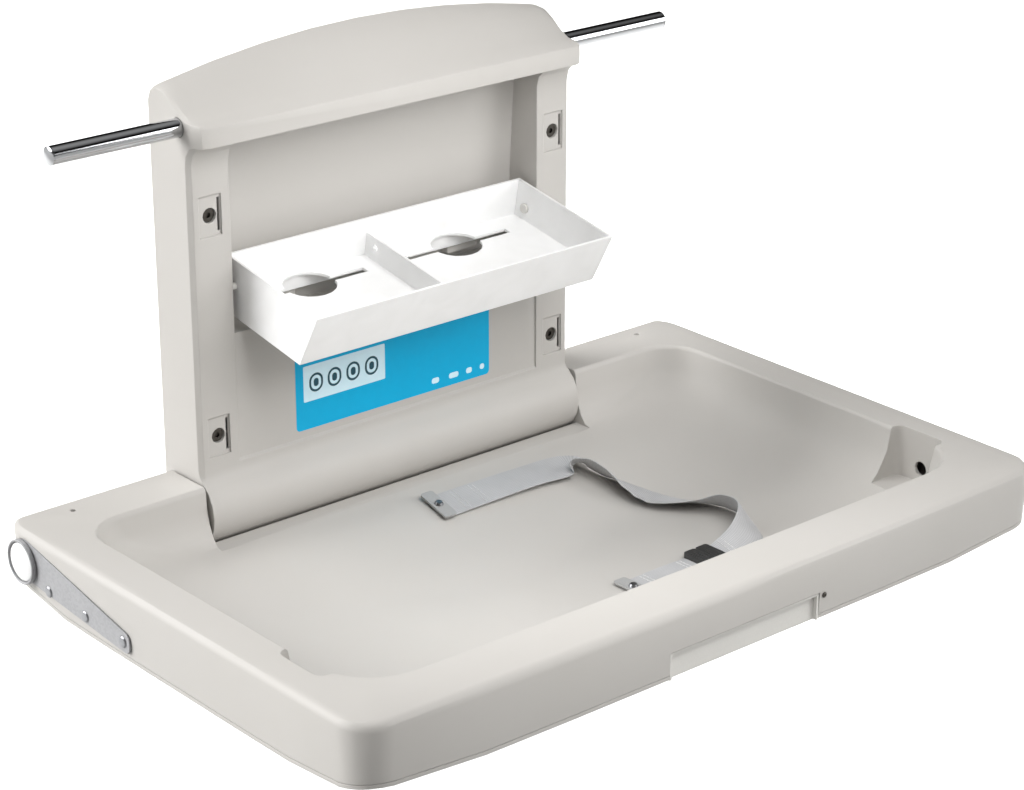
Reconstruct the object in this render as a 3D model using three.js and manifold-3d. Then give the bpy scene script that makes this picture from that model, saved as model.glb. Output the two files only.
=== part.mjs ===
// Wall-mounted folding baby changing station, bed open.
// Millimetres. X runs along the wall to the right, Y points into the wall, Z is up.
// The origin lies on the wall face, at the middle of the station and at the height of the bed's hinge.
import * as THREE from "three";
import { mergeVertices } from "three/addons/utils/BufferGeometryUtils.js";
import Module from "manifold-3d";

const wasm = await Module();
wasm.setup();

// Clearances
const SEAT_GAP = 0.3;
const RUN_GAP = 0.4;
const BED_SIDE_GAP = 3;
const NOSE_GAP = 3;

// Moulded walls
const HOUSING_WALL = 4;
const BED_WALL = 4;

// Hinge
const HINGE_OUT = 45;
const AXLE_R = 8;
const BUSH_WALL = 4;
const BUSH_FLANGE = 2;
const BUSH_FLANGE_RIM = 4;

// Steel wall plate
const PLATE_T = 3;
const PLATE_MARGIN = 22;
const PLATE_DROP = 24;

// Back housing
const HOUSING_HALF = 243;
const PILLAR_OUT = 68;
const PILLAR_W = 46;
const PILLAR_EDGE_R = 6;
const NOSE_BLEND_R = 16;
const LIP_OUT = 91;
const LIP_Z = 384;
const LIP_H = 16;
const LIP_EDGE_R = 7;
const LIP_CORNER_R = 12;
const COVE_H = 22;
const CROWN_TOP = 459;
const CROWN_DROP = 26;
const CROWN_BACK_R = 14;
const HOOD_SWAY = 4;
const RECESS_FLOOR_Z = 182;
const RECESS_TOP_Z = 382;
const RECESS_BACK_LOW = 24;
const RECESS_BACK_TOP = 32;
const RECESS_BEND_Z = 262;
const PANEL_STEP = 2;
const PANEL_LOW_Z = 48;

// Fixing screws through the pillars
const SCREW_Z = [79, 309];
const SCREW_R = 3;
const SCREW_HEAD_R = 7;
const SCREW_HEAD_H = 4.5;
const SCREW_BOSS_WALL = 5;
const POCKET_W = 26;
const POCKET_H = 42;
const POCKET_DEEP = 2;
const COUNTERBORE_DEEP = 7;
const POCKET_SLOT_W = 3;
const POCKET_SLOT_H = 34;
const POCKET_SLOT_IN = 1;

// Hanging rod
const ROD_R = 9.5;
const ROD_WALL = 1.5;
const ROD_HALF = 387;
const ROD_OUT = 53;
const ROD_Z = 399;
const ROD_PLUG_DEEP = 12;
const ROD_PLUG_FACE = 2;

// Rotary damper inside the nose
const DAMPER_R = 24;
const DAMPER_HALF = 55;
const DAMPER_SPIGOT_R = 17;
const DAMPER_SPIGOT_L = 8;
const DAMPER_RIB_T = 5;
const ROTOR_R = 12;
const ROTOR_SHORT = 14;

// Bed
const BED_HALF = 437;
const BED_FRONT = 583;
const BED_BOW = 6;
const RIM_Z = 33;
const REAR_R = 42;
const BED_REAR_CORNER_R = 36;
const BED_FRONT_CORNER_R = 36;
const RIM_EDGE_R = 9;
const BASE_DEPTH = 76;
const BASE_SIDE_RISE = 36;
const BASE_FRONT_RISE = 42;
const BASE_REAR_RISE = 54;
const BASE_POWER = 4;
const BASE_T = 4;
const SKIRT_DRAFT = 3;
const RIM_HOLE_IN = 62;
const RIM_HOLE_OUT = 38;
const RIM_HOLE_R = 3;

// Basin in the bed
const BASIN_HALF = 390;
const BASIN_REAR = 78;
const BASIN_FRONT = 514;
const BASIN_BOW = 4;
const BASIN_REAR_CORNER_R = 42;
const BASIN_FRONT_CORNER_R = 60;
const BASIN_LIP_R = 5;
const BASIN_SIDE_RUN = 92;
const BASIN_FRONT_RUN = 56;
const BASIN_REAR_RUN = 24;
const FLOOR_NEAR_HINGE = 28;
const FLOOR_OVER_BASE = 12;
const FLOOR_FALL_START = 66;
const FLOOR_FALL_RUN = 150;

// Notches that take the rod's ends when the bed is up
const NOTCH_HALF = 32;
const NOTCH_CORNER_R = 10;
const NOTCH_END_GAP = 16;
const NOTCH_UNDER = 6;
const NOTCH_HOLE_R = 8;

// Finger grip under the front edge of the bed
const GRIP_X = 12;
const GRIP_HALF = 97;
const GRIP_TOP_Z = -9;
const GRIP_LOW_Z = -37;
const GRIP_DEEP = 8;
const GRIP_WALL = 2.5;
const GRIP_FLANGE = 4;
const GRIP_FLANGE_LOW_Z = -29;

// Hinge arms on the bed's ends
const ARM_T = 4;
const ARM_HEAD_R = 22;
const ARM_HEAD_FWD = 5;
const ARM_HEAD_UP = 2;
const ARM_TAIL_OUT = 226;
const ARM_TAIL_LOW_Z = -32;
const ARM_TAIL_H = 21;
const ARM_RIVET_R = 3.5;
const ARM_RIVET_HEAD_R = 6;
const ARM_RIVET_HEAD_H = 1.6;
const ARM_RIVETS = 3;
const CAP_R = 20;
const CAP_H = 6;

// Dispenser tray
const TRAY_SIDE_GAP = 7;
const TRAY_RIM_DEEP = 151;
const TRAY_H = 60;
const TRAY_FRONT_LEAN = 20;
const TRAY_WALL = 3;
const TRAY_TILT = 10.5;
const TRAY_REAR_OUT = 48;
const TRAY_REAR_Z = 259;
const TRAY_FLOOR_DOWN = 44;
const TRAY_DIVIDER_X = -14;
const TRAY_DIVIDER_DOWN = 16;
const TRAY_PIVOT_FWD = 18.7;
const TRAY_PIVOT_DOWN = 27;
const TRAY_PIN_R = 3.5;
const TRAY_PIN_RIM = 1.8;
const TRAY_PIN_HEAD = 3;
const TRAY_PIN_SEAT = 8;
const TRAY_STOP_W = 40;
const TRAY_STOP_IN = 70;
const TRAY_STOP_H = 12;
const PULL_HOLE_HALF_X = 29;
const PULL_HOLE_HALF_Y = 25;
const PULL_SLIT_END_GAP = 18;
const PULL_SLIT_W = 9;
const PULL_HOLE_BACK = 30;
const PULL_HOLE_SHIFT = -3;

// Safety belt
const BELT_W = 38;
const BELT_T = 2;
const BELT_STEPS = 36;
const BELT_LIFT = 2.5;
const BELT_END_GAP = 2.5;
const ANCHOR_W = 44;
const ANCHOR_L = 16;
const ANCHOR_T = 2;
const ANCHOR_SCREW_R = 5;
const ANCHOR_SCREW_H = 2.5;
const BUCKLE_L = 16;
const BUCKLE_W = 42;
const BUCKLE_T = 7;

// Mesh fineness
const ROUND = 24;
const SMALL_ROUND = 12;

const backY = -(PLATE_T + SEAT_GAP);
const hingeY = -HINGE_OUT;
const noseR = HINGE_OUT + backY;
const pillarY = -PILLAR_OUT;
const recessHalf = HOUSING_HALF - PILLAR_W;
const trayHalf = recessHalf - TRAY_SIDE_GAP;
const troughR = noseR + NOSE_GAP;
const cutHalf = HOUSING_HALF + BED_SIDE_GAP;
const bedRear = hingeY + REAR_R;
const bedMidY = (bedRear - BED_FRONT) / 2;
const bedHalfLength = (bedRear + BED_FRONT) / 2;

// Solids and booleans

function solid(geometry) {
  const bare = geometry.clone();
  for (const key of Object.keys(bare.attributes)) {
    if (key !== "position") {
      bare.deleteAttribute(key);
    }
  }
  const merged = mergeVertices(bare, 1e-4);
  return new wasm.Manifold(
    new wasm.Mesh({
      numProp: 3,
      vertProperties: new Float32Array(merged.attributes.position.array),
      triVerts: new Uint32Array(merged.index.array),
    }),
  );
}

function geometryOf(manifold) {
  const mesh = manifold.getMesh();
  const points = new Float32Array(mesh.numVert * 3);
  for (let i = 0; i < mesh.numVert; i += 1) {
    const at = i * mesh.numProp;
    points.set(mesh.vertProperties.subarray(at, at + 3), i * 3);
  }
  const geometry = new THREE.BufferGeometry();
  geometry.setAttribute("position", new THREE.BufferAttribute(points, 3));
  geometry.setIndex(new THREE.BufferAttribute(new Uint32Array(mesh.triVerts), 1));
  geometry.computeVertexNormals();
  return geometry;
}

const cut = (body, ...tools) => tools.reduce((rest, tool) => rest.subtract(tool), body);
const join = (body, ...more) => more.reduce((whole, next) => whole.add(next), body);

function box(x0, x1, y0, y1, z0, z1) {
  const geometry = new THREE.BoxGeometry(x1 - x0, y1 - y0, z1 - z0);
  geometry.translate((x0 + x1) / 2, (y0 + y1) / 2, (z0 + z1) / 2);
  return solid(geometry);
}

// Round bar along X from x0 to x1
function barX(radius, x0, x1, y, z, sides = ROUND) {
  const geometry = new THREE.CylinderGeometry(radius, radius, x1 - x0, sides);
  geometry.rotateZ(Math.PI / 2);
  geometry.translate((x0 + x1) / 2, y, z);
  return solid(geometry);
}

// Round bar along Y from y0 to y1
function barY(radius, y0, y1, x, z, sides = SMALL_ROUND) {
  const geometry = new THREE.CylinderGeometry(radius, radius, y1 - y0, sides);
  geometry.translate(x, (y0 + y1) / 2, z);
  return solid(geometry);
}

// Prism along X of an outline drawn in Y and Z
function prismX(outline, x0, x1) {
  const shape = new THREE.Shape(outline.map(([y, z]) => new THREE.Vector2(y, z)));
  const geometry = new THREE.ExtrudeGeometry(shape, { depth: x1 - x0, bevelEnabled: false });
  geometry.applyMatrix4(
    new THREE.Matrix4().set(0, 0, 1, x0, 1, 0, 0, 0, 0, 1, 0, 0, 0, 0, 0, 1),
  );
  return solid(geometry);
}

// Skin over rings of equal point counts. Each end is closed by a fan to the middle of its ring,
// or, with flat, by triangles of the ring seen along that flat view.
function loft(rings, flat) {
  const count = rings[0].length;
  const points = rings.flat();
  const faces = [];
  for (let i = 0; i + 1 < rings.length; i += 1) {
    for (let j = 0; j < count; j += 1) {
      const a = i * count + j;
      const b = i * count + ((j + 1) % count);
      faces.push(a, b, a + count, b, b + count, a + count);
    }
  }
  const close = (ring, first, facing) => {
    const turned = (a, b, c) => (facing ? faces.push(a, b, c) : faces.push(a, c, b));
    if (flat) {
      const outline = ring.map(flat);
      const clockwise = THREE.ShapeUtils.isClockWise(outline);
      for (const [a, b, c] of THREE.ShapeUtils.triangulateShape(outline, [])) {
        turned(first + a, first + (clockwise ? c : b), first + (clockwise ? b : c));
      }
      return;
    }
    const middle = new THREE.Vector3();
    for (const point of ring) {
      middle.addScaledVector(point, 1 / count);
    }
    points.push(middle);
    for (let j = 0; j < count; j += 1) {
      turned(points.length - 1, first + j, first + ((j + 1) % count));
    }
  };
  close(rings[0], 0, false);
  close(rings.at(-1), (rings.length - 1) * count, true);
  const geometry = new THREE.BufferGeometry();
  const numbers = points.flatMap((p) => [p.x, p.y, p.z]);
  geometry.setAttribute("position", new THREE.Float32BufferAttribute(numbers, 3));
  geometry.setIndex(faces);
  const made = solid(geometry);
  if (made.volume() > 0) {
    return made;
  }
  for (let i = 0; i < faces.length; i += 3) {
    [faces[i + 1], faces[i + 2]] = [faces[i + 2], faces[i + 1]];
  }
  geometry.setIndex(faces);
  return solid(geometry);
}

const sideFlat = (p) => new THREE.Vector2(p.y, p.z);

// Points on an arc about (y, z), angles in degrees from +Y towards +Z
function arc(y, z, radius, from, to, steps) {
  return Array.from({ length: steps + 1 }, (_, i) => {
    const turn = THREE.MathUtils.degToRad(from + ((to - from) * i) / steps);
    return [y + radius * Math.cos(turn), z + radius * Math.sin(turn)];
  });
}

const smooth = (t) => THREE.MathUtils.smoothstep(t, 0, 1);

// Back housing: one side section is swept along X, with the crown arched and its ends rounded

function setback(x, half, radius) {
  const past = Math.min(Math.max(Math.abs(x) - (half - radius), 0), radius);
  return radius - Math.sqrt(radius * radius - past * past);
}

function crownTop(x) {
  const across = x / HOUSING_HALF;
  return CROWN_TOP - CROWN_DROP * across * across;
}

// The outer section at x, or with wall and openBack the hollow inside it
function housingSection(x, wall, openBack) {
  const nose = noseR - wall;
  const pillar = pillarY + wall + setback(x, HOUSING_HALF - wall, PILLAR_EDGE_R);
  const lip = -LIP_OUT + wall + setback(x, HOUSING_HALF - wall, LIP_CORNER_R);
  const top = crownTop(x) - wall - setback(x, HOUSING_HALF - wall, LIP_CORNER_R) / 4;
  const back = openBack ? 1 : backY;
  const blendY = pillar - NOSE_BLEND_R;
  const blendZ = Math.sqrt((nose + NOSE_BLEND_R) ** 2 - (blendY - hingeY) ** 2);
  const meet = THREE.MathUtils.radToDeg(Math.atan2(blendZ, blendY - hingeY));
  const lipZ = LIP_Z + wall;
  const coveOut = Math.max(pillar - lip, 0.5);
  const hoodFoot = LIP_Z + LIP_H;
  const hoodFrom = [lip + LIP_EDGE_R * 0.6, hoodFoot + LIP_EDGE_R * 0.8];
  const hoodTo = [backY - CROWN_BACK_R - wall * 0.5, top];
  const hood = [1, 2, 3, 4].map((i) => {
    const t = i / 5;
    const sway = HOOD_SWAY * Math.sin(2 * Math.PI * t);
    return [
      THREE.MathUtils.lerp(hoodFrom[0], hoodTo[0], t),
      THREE.MathUtils.lerp(hoodFrom[1], hoodTo[1], t) - sway,
    ];
  });
  return [
    [back, 0],
    ...arc(hingeY, 0, nose, 0, -180, 10).slice(openBack ? 0 : 1),
    ...arc(hingeY, 0, nose, 180, meet, 3).slice(1),
    ...arc(blendY, blendZ, NOSE_BLEND_R, meet - 180, 0, 3).slice(1),
    ...[0, 1, 2, 3].map((i) => {
      const turn = (Math.PI / 2) * (i / 3);
      return [pillar - coveOut * (1 - Math.cos(turn)), lipZ - COVE_H * (1 - Math.sin(turn))];
    }),
    [lip, hoodFoot],
    [lip + LIP_EDGE_R * 0.2, hoodFoot + LIP_EDGE_R * 0.5],
    hoodFrom,
    ...hood,
    hoodTo,
    [backY - CROWN_BACK_R * 0.3, top - CROWN_BACK_R * 0.3],
    [back, top - CROWN_BACK_R],
  ];
}

function housingLoft(wall, openBack) {
  const half = HOUSING_HALF - wall;
  const ends = [0, 45, 90].map((a) => {
    const turn = THREE.MathUtils.degToRad(a);
    return half - LIP_CORNER_R + LIP_CORNER_R * Math.cos(turn);
  });
  const inner = half - LIP_CORNER_R;
  const middle = [0.75, 0.5, 0.25].map((t) => inner * t);
  const right = [...ends, ...middle];
  const stations = [...right.map((x) => -x), 0, ...right.reverse()];
  const rings = stations.map((x) =>
    housingSection(x, wall, openBack).map(([y, z]) => new THREE.Vector3(x, y, z)),
  );
  return loft(rings, sideFlat);
}

// Recess for the tray above, shallow panel below, cut between the pillars
function recessCut(wall) {
  const front = -LIP_OUT - 50;
  const outline = [
    [front, LIP_Z + wall],
    [-LIP_OUT, LIP_Z + wall],
    [pillarY, RECESS_TOP_Z + wall],
    [-RECESS_BACK_TOP + wall, RECESS_TOP_Z + wall],
    [-RECESS_BACK_LOW + wall, RECESS_BEND_Z],
    [-RECESS_BACK_LOW + wall, RECESS_FLOOR_Z - wall],
    [pillarY + PANEL_STEP + wall, RECESS_FLOOR_Z - wall],
    [pillarY + PANEL_STEP + wall, PANEL_LOW_Z],
    [pillarY, PANEL_LOW_Z - PANEL_STEP],
    [front, PANEL_LOW_Z - PANEL_STEP],
  ];
  return prismX(outline.reverse(), -recessHalf - wall, recessHalf + wall);
}

const pillarX = HOUSING_HALF - PILLAR_W / 2;
const screwSpots = [-pillarX, pillarX].flatMap((x) => SCREW_Z.map((z) => [x, z]));
const screwSeatY = pillarY + POCKET_DEEP + COUNTERBORE_DEEP;

// Tray frame: u runs forward along the tray's tilted floor, v square to it, from the rear rim
const tilt = THREE.MathUtils.degToRad(TRAY_TILT);
const trayPoint = (u, v) => [
  -TRAY_REAR_OUT - u * Math.cos(tilt) - v * Math.sin(tilt),
  TRAY_REAR_Z - u * Math.sin(tilt) + v * Math.cos(tilt),
];
const [trayPivotY, trayPivotZ] = trayPoint(TRAY_PIVOT_FWD, -TRAY_PIVOT_DOWN);

// Narrow slot through the wall at the right of a screw's pocket
function pocketSlot(x, z) {
  const right = x + POCKET_W / 2 - POCKET_SLOT_IN;
  return box(
    right - POCKET_SLOT_W,
    right,
    pillarY,
    pillarY + HOUSING_WALL + POCKET_DEEP,
    z - POCKET_SLOT_H / 2,
    z + POCKET_SLOT_H / 2,
  );
}

function backHousing() {
  const hollow = cut(housingLoft(HOUSING_WALL, true), recessCut(HOUSING_WALL));
  let body = cut(housingLoft(0, false), recessCut(0), hollow);
  const ribAt = DAMPER_HALF + RUN_GAP;
  for (const side of [-1, 1]) {
    const from = side > 0 ? ribAt : -ribAt - DAMPER_RIB_T;
    const rib = barX(noseR - HOUSING_WALL / 2, from, from + DAMPER_RIB_T, hingeY, 0);
    body = join(body, rib);
    const stopX = side * (trayHalf - TRAY_STOP_IN);
    const [stopY, stopZ] = trayPoint(0, -TRAY_H);
    const stopTop = stopZ + TRAY_STOP_H / 4;
    const stopBack = -RECESS_BACK_LOW + HOUSING_WALL / 2;
    body = join(
      body,
      box(
        stopX - TRAY_STOP_W / 2,
        stopX + TRAY_STOP_W / 2,
        stopY + RUN_GAP,
        stopBack,
        stopTop - TRAY_STOP_H,
        stopTop,
      ),
    );
    const pinFrom = side * recessHalf;
    const pinTo = side * (recessHalf + TRAY_PIN_SEAT + HOUSING_WALL);
    const bossR = TRAY_PIN_R + HOUSING_WALL / 2;
    body = join(
      body,
      barX(bossR, Math.min(pinFrom, pinTo), Math.max(pinFrom, pinTo), trayPivotY, trayPivotZ),
    );
  }
  for (const [x, z] of screwSpots) {
    const bossR = SCREW_HEAD_R + SEAT_GAP + SCREW_BOSS_WALL;
    body = join(body, barY(bossR, pillarY + HOUSING_WALL / 2, backY, x, z));
  }
  for (const [x, z] of screwSpots) {
    body = cut(
      body,
      box(
        x - POCKET_W / 2,
        x + POCKET_W / 2,
        pillarY - 1,
        pillarY + POCKET_DEEP,
        z - POCKET_H / 2,
        z + POCKET_H / 2,
      ),
      barY(SCREW_HEAD_R + 1, pillarY - 1, screwSeatY, x, z),
      barY(SCREW_R + SEAT_GAP, pillarY - 1, 1, x, z),
      pocketSlot(x, z),
    );
  }
  for (const side of [-1, 1]) {
    const from = side * (recessHalf - 1);
    const to = side * (recessHalf + TRAY_PIN_SEAT);
    body = cut(
      body,
      barX(TRAY_PIN_R + RUN_GAP, Math.min(from, to), Math.max(from, to), trayPivotY, trayPivotZ),
    );
  }
  const wide = HOUSING_HALF + 1;
  const ribOut = ribAt + DAMPER_RIB_T + 1;
  return cut(
    body,
    barX(ROD_R + SEAT_GAP, -wide, wide, -ROD_OUT, ROD_Z),
    barX(AXLE_R + RUN_GAP + BUSH_WALL + SEAT_GAP, -wide, wide, hingeY, 0),
    barX(DAMPER_SPIGOT_R + SEAT_GAP, -ribOut, ribOut, hingeY, 0),
  );
}

function wallPlate() {
  const half = HOUSING_HALF - PLATE_MARGIN / 2;
  const low = -PLATE_DROP;
  const high = crownTop(half) - CROWN_BACK_R - PLATE_MARGIN / 2;
  const shape = new THREE.Shape();
  const r = PLATE_MARGIN / 2;
  shape.moveTo(-half + r, low);
  shape.lineTo(half - r, low);
  shape.absarc(half - r, low + r, r, -Math.PI / 2, 0);
  shape.lineTo(half, high - r);
  shape.absarc(half - r, high - r, r, 0, Math.PI / 2);
  shape.lineTo(-half + r, high);
  shape.absarc(-half + r, high - r, r, Math.PI / 2, Math.PI);
  shape.lineTo(-half, low + r);
  shape.absarc(-half + r, low + r, r, Math.PI, Math.PI * 1.5);
  for (const [x, z] of screwSpots) {
    const hole = new THREE.Path();
    hole.absarc(x, z, SCREW_R + SEAT_GAP, 0, Math.PI * 2);
    shape.holes.push(hole);
  }
  const geometry = new THREE.ExtrudeGeometry(shape, {
    depth: PLATE_T,
    bevelEnabled: false,
    curveSegments: 6,
  });
  geometry.rotateX(Math.PI / 2);
  return solid(geometry);
}

function pillarScrew(x, z) {
  const shank = barY(SCREW_R, screwSeatY, -SEAT_GAP, x, z);
  const headFrom = screwSeatY - SEAT_GAP - SCREW_HEAD_H;
  const head = barY(SCREW_HEAD_R, headFrom, screwSeatY - SEAT_GAP, x, z);
  const neck = barY(SCREW_R, screwSeatY - SEAT_GAP - 1, screwSeatY + 1, x, z);
  const socket = barY(SCREW_R, headFrom - 1, headFrom + SCREW_HEAD_H / 2, x, z, 6);
  return cut(join(shank, neck, head), socket);
}

// Bed

// Rounded rectangle seen from above, counter-clockwise, with a bowed front edge
function planRing({ half, rear, front, bow, rearR, frontR }, heightAt) {
  const points = [];
  const steps = 5;
  const corner = (cx, cy, radius, from) => {
    for (let i = 0; i <= steps; i += 1) {
      const turn = THREE.MathUtils.degToRad(from + (90 * i) / steps);
      points.push([cx + radius * Math.cos(turn), cy + radius * Math.sin(turn)]);
    }
  };
  const run = (x0, y0, x1, y1, parts) => {
    for (let i = 1; i < parts; i += 1) {
      const t = i / parts;
      points.push([THREE.MathUtils.lerp(x0, x1, t), THREE.MathUtils.lerp(y0, y1, t)]);
    }
  };
  corner(half - rearR, rear - rearR, rearR, 0);
  run(half - rearR, rear, rearR - half, rear, 4);
  corner(rearR - half, rear - rearR, rearR, 90);
  run(-half, rear - rearR, -half, front + frontR, 7);
  const frontFrom = points.length;
  corner(frontR - half, front + frontR, frontR, 180);
  run(frontR - half, front, half - frontR, front, 8);
  corner(half - frontR, front + frontR, frontR, 270);
  const frontTo = points.length;
  run(half, front + frontR, half, rear - rearR, 7);
  return points.map(([x, y], i) => {
    const bowed = i >= frontFrom && i < frontTo ? y - bow * (1 - (x / half) ** 2) : y;
    return new THREE.Vector3(x, bowed, heightAt(x, bowed));
  });
}

// Outside of the bed's underside
function baseZ(x, y) {
  const side = BASE_SIDE_RISE * Math.abs(x / BED_HALF) ** BASE_POWER;
  const along = Math.abs((y - bedMidY) / bedHalfLength) ** BASE_POWER;
  const end = along * (y < bedMidY ? BASE_FRONT_RISE : BASE_REAR_RISE);
  return -BASE_DEPTH + Math.hypot(side, end);
}

// Top of the basin's floor: shallow beside the hinge, then falling to a dish
function floorZ(x, y) {
  const fall = smooth((hingeY - y - FLOOR_FALL_START) / FLOOR_FALL_RUN);
  const dish = baseZ(x, y) + FLOOR_OVER_BASE;
  return THREE.MathUtils.lerp(Math.max(-FLOOR_NEAR_HINGE, dish), dish, fall);
}

const bedOutline = (inset) => ({
  half: BED_HALF - inset,
  rear: bedRear - inset,
  front: -BED_FRONT + BED_BOW + inset,
  bow: BED_BOW,
  rearR: BED_REAR_CORNER_R - Math.min(inset, BED_REAR_CORNER_R - 2),
  frontR: BED_FRONT_CORNER_R - Math.min(inset, BED_FRONT_CORNER_R - 2),
});

const scaledRing = (ring, share, heightAt) =>
  ring.map((p) => {
    const x = p.x * share;
    const y = bedMidY + (p.y - bedMidY) * share;
    return new THREE.Vector3(x, y, heightAt(x, y));
  });

// Rings inside the foot ring, as shares of it
const innerShares = [4, 3, 2, 1].map((k) => Math.sqrt(k / 5));

// Block of the whole bed, from the rim down to just over the base
function bedBlock(wall, below) {
  const rim = RIM_Z - wall;
  const under = (x, y) => baseZ(x, y) + BASE_T + SEAT_GAP - below;
  const rings = [90, 60, 30, 0].map((a) => {
    const turn = THREE.MathUtils.degToRad(a);
    const inset = wall + RIM_EDGE_R * (1 - Math.cos(turn));
    return planRing(bedOutline(inset), () => rim - RIM_EDGE_R * (1 - Math.sin(turn)));
  });
  const foot = planRing(bedOutline(wall + SKIRT_DRAFT), under);
  const floor = innerShares.map((share) => scaledRing(foot, share, under));
  return loft([...rings, foot, ...floor]);
}

function basinOutline(side, front, rear, grow) {
  return {
    half: BASIN_HALF - side + grow,
    rear: -BASIN_REAR - rear + grow,
    front: -BASIN_FRONT + front - grow,
    bow: BASIN_BOW,
    rearR: BASIN_REAR_CORNER_R + side * 0.5 + grow,
    frontR: BASIN_FRONT_CORNER_R + side * 0.4 + grow,
  };
}

// Space inside the basin, or with grow the outside of its wall
function basinSpace(grow) {
  const top = RIM_Z + (grow > 0 ? -1 : 1);
  const rings = [planRing(basinOutline(0, 0, 0, grow + BASIN_LIP_R), () => top)];
  for (const a of [60, 30]) {
    const turn = THREE.MathUtils.degToRad(a);
    const out = BASIN_LIP_R * (1 - Math.cos(turn));
    const z = RIM_Z - BASIN_LIP_R * (1 - Math.sin(turn));
    rings.push(planRing(basinOutline(0, 0, 0, grow + out), () => Math.min(z, top - 0.2)));
  }
  const lipFoot = RIM_Z - BASIN_LIP_R;
  for (const a of [0, 18, 36, 54, 72, 90]) {
    const turn = THREE.MathUtils.degToRad(a);
    const run = 1 - Math.cos(turn);
    const outline = basinOutline(
      BASIN_SIDE_RUN * run,
      BASIN_FRONT_RUN * run,
      BASIN_REAR_RUN * run,
      grow,
    );
    const heightAt = (x, y) =>
      THREE.MathUtils.lerp(lipFoot, floorZ(x, y) - grow, Math.sin(turn));
    rings.push(planRing(outline, heightAt));
  }
  const edge = rings.at(-1);
  const middle = innerShares.map((share) => scaledRing(edge, share, (x, y) => floorZ(x, y) - grow));
  return loft([...rings, ...middle]);
}

// Room for the housing's nose, cut out of the bed's rear edge
function noseCut(grow) {
  const half = cutHalf + grow;
  const far = 60;
  const round = barX(troughR + grow, -half, half, hingeY, 0, 36);
  const behind = box(-half, half, hingeY, far, -BASE_DEPTH - far, RIM_Z + far);
  const flatFrom = -BASIN_REAR - BASIN_REAR_RUN - grow;
  const over = box(-half, half, flatFrom, far, -FLOOR_NEAR_HINGE + (grow > 0 ? -grow : 0.2), RIM_Z + far);
  return join(round, behind, over);
}

// The rear edge is round about the hinge, so that it turns clear of the wall
function rearRound(radius) {
  const half = BED_HALF + 50;
  const front = box(-half, half, -BED_FRONT - 50, hingeY, -BASE_DEPTH - 50, RIM_Z + 50);
  return join(front, barX(radius, -half, half, hingeY, 0, 48));
}

const notchY = hingeY - ROD_Z;
const notchZ = -ROD_OUT - hingeY - ROD_R - NOTCH_UNDER;

function rodNotch(side, grow) {
  const from = BASIN_HALF - BASIN_SIDE_RUN;
  const to = ROD_HALF + NOTCH_END_GAP + grow;
  const half = NOTCH_HALF + grow;
  const radius = NOTCH_CORNER_R + grow;
  const outline = [
    [from, notchY - half],
    ...arc(to - radius, notchY - half + radius, radius, -90, 0, 4),
    ...arc(to - radius, notchY + half - radius, radius, 0, 90, 4),
    [from, notchY + half],
  ];
  const shape = new THREE.Shape(outline.map(([x, y]) => new THREE.Vector2(side * x, y)));
  const low = notchZ - grow;
  const depth = RIM_Z + 1 + (grow > 0 ? -3 : 0) - low;
  const geometry = new THREE.ExtrudeGeometry(shape, { depth, bevelEnabled: false });
  return solid(geometry.translate(0, 0, low));
}

// Hole in a notch's end wall, in line with the folded rod
function notchHole(side) {
  const from = ROD_HALF + NOTCH_END_GAP;
  const near = side * (from - NOTCH_CORNER_R);
  const far = side * (from + BED_WALL * 2);
  const rodZ = notchZ + NOTCH_UNDER + ROD_R;
  return barX(NOTCH_HOLE_R, Math.min(near, far), Math.max(near, far), notchY, rodZ, SMALL_ROUND);
}

// Hole in the rear rim, over the axle
function rimHole(side) {
  const geometry = new THREE.CylinderGeometry(RIM_HOLE_R, RIM_HOLE_R, BED_WALL * 3, SMALL_ROUND);
  geometry.rotateX(Math.PI / 2);
  geometry.translate(side * (BED_HALF - RIM_HOLE_IN), -RIM_HOLE_OUT, RIM_Z);
  return solid(geometry);
}

// Outline of a hinge arm, drawn in Y and Z
function armOutline(grow) {
  const tailY = -ARM_TAIL_OUT - grow;
  const low = ARM_TAIL_LOW_Z - grow;
  const high = ARM_TAIL_LOW_Z + ARM_TAIL_H + grow;
  const head = ARM_HEAD_R + grow;
  const endR = ARM_TAIL_H / 3;
  return [
    ...arc(hingeY - ARM_HEAD_FWD, ARM_HEAD_UP, head, -110, 110, 14),
    ...arc(tailY + endR, high - endR, endR, 90, 180, 3),
    ...arc(tailY + endR, low + endR, endR, 180, 270, 3),
  ];
}

function armRecess(side, grow) {
  const from = side * (BED_HALF - ARM_T - SEAT_GAP - grow);
  const to = side * (BED_HALF + 20);
  return prismX(armOutline(SEAT_GAP + grow), Math.min(from, to), Math.max(from, to));
}

const frontY = -BED_FRONT;
const gripBackY = frontY + GRIP_DEEP + GRIP_WALL;

// Space that the grip takes from the bed, open to the front and below
function gripSlot() {
  return box(
    GRIP_X - GRIP_HALF - SEAT_GAP,
    GRIP_X + GRIP_HALF + SEAT_GAP,
    frontY - BED_WALL,
    gripBackY + SEAT_GAP,
    -BASE_DEPTH,
    GRIP_TOP_Z + SEAT_GAP,
  );
}

// Rivets sit evenly along the arm's tail
const rivetSpots = Array.from({ length: ARM_RIVETS }, (_, i) => {
  const from = hingeY - ARM_HEAD_R - ARM_TAIL_H;
  const to = -ARM_TAIL_OUT + ARM_TAIL_H / 2;
  const t = i / (ARM_RIVETS - 1);
  const middle = ARM_TAIL_LOW_Z + ARM_TAIL_H / 2;
  return [THREE.MathUtils.lerp(from, to, t), middle + (1 - t) * ARM_TAIL_H * 0.2];
});

const sides = [
  ["left", -1],
  ["right", 1],
];

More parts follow.
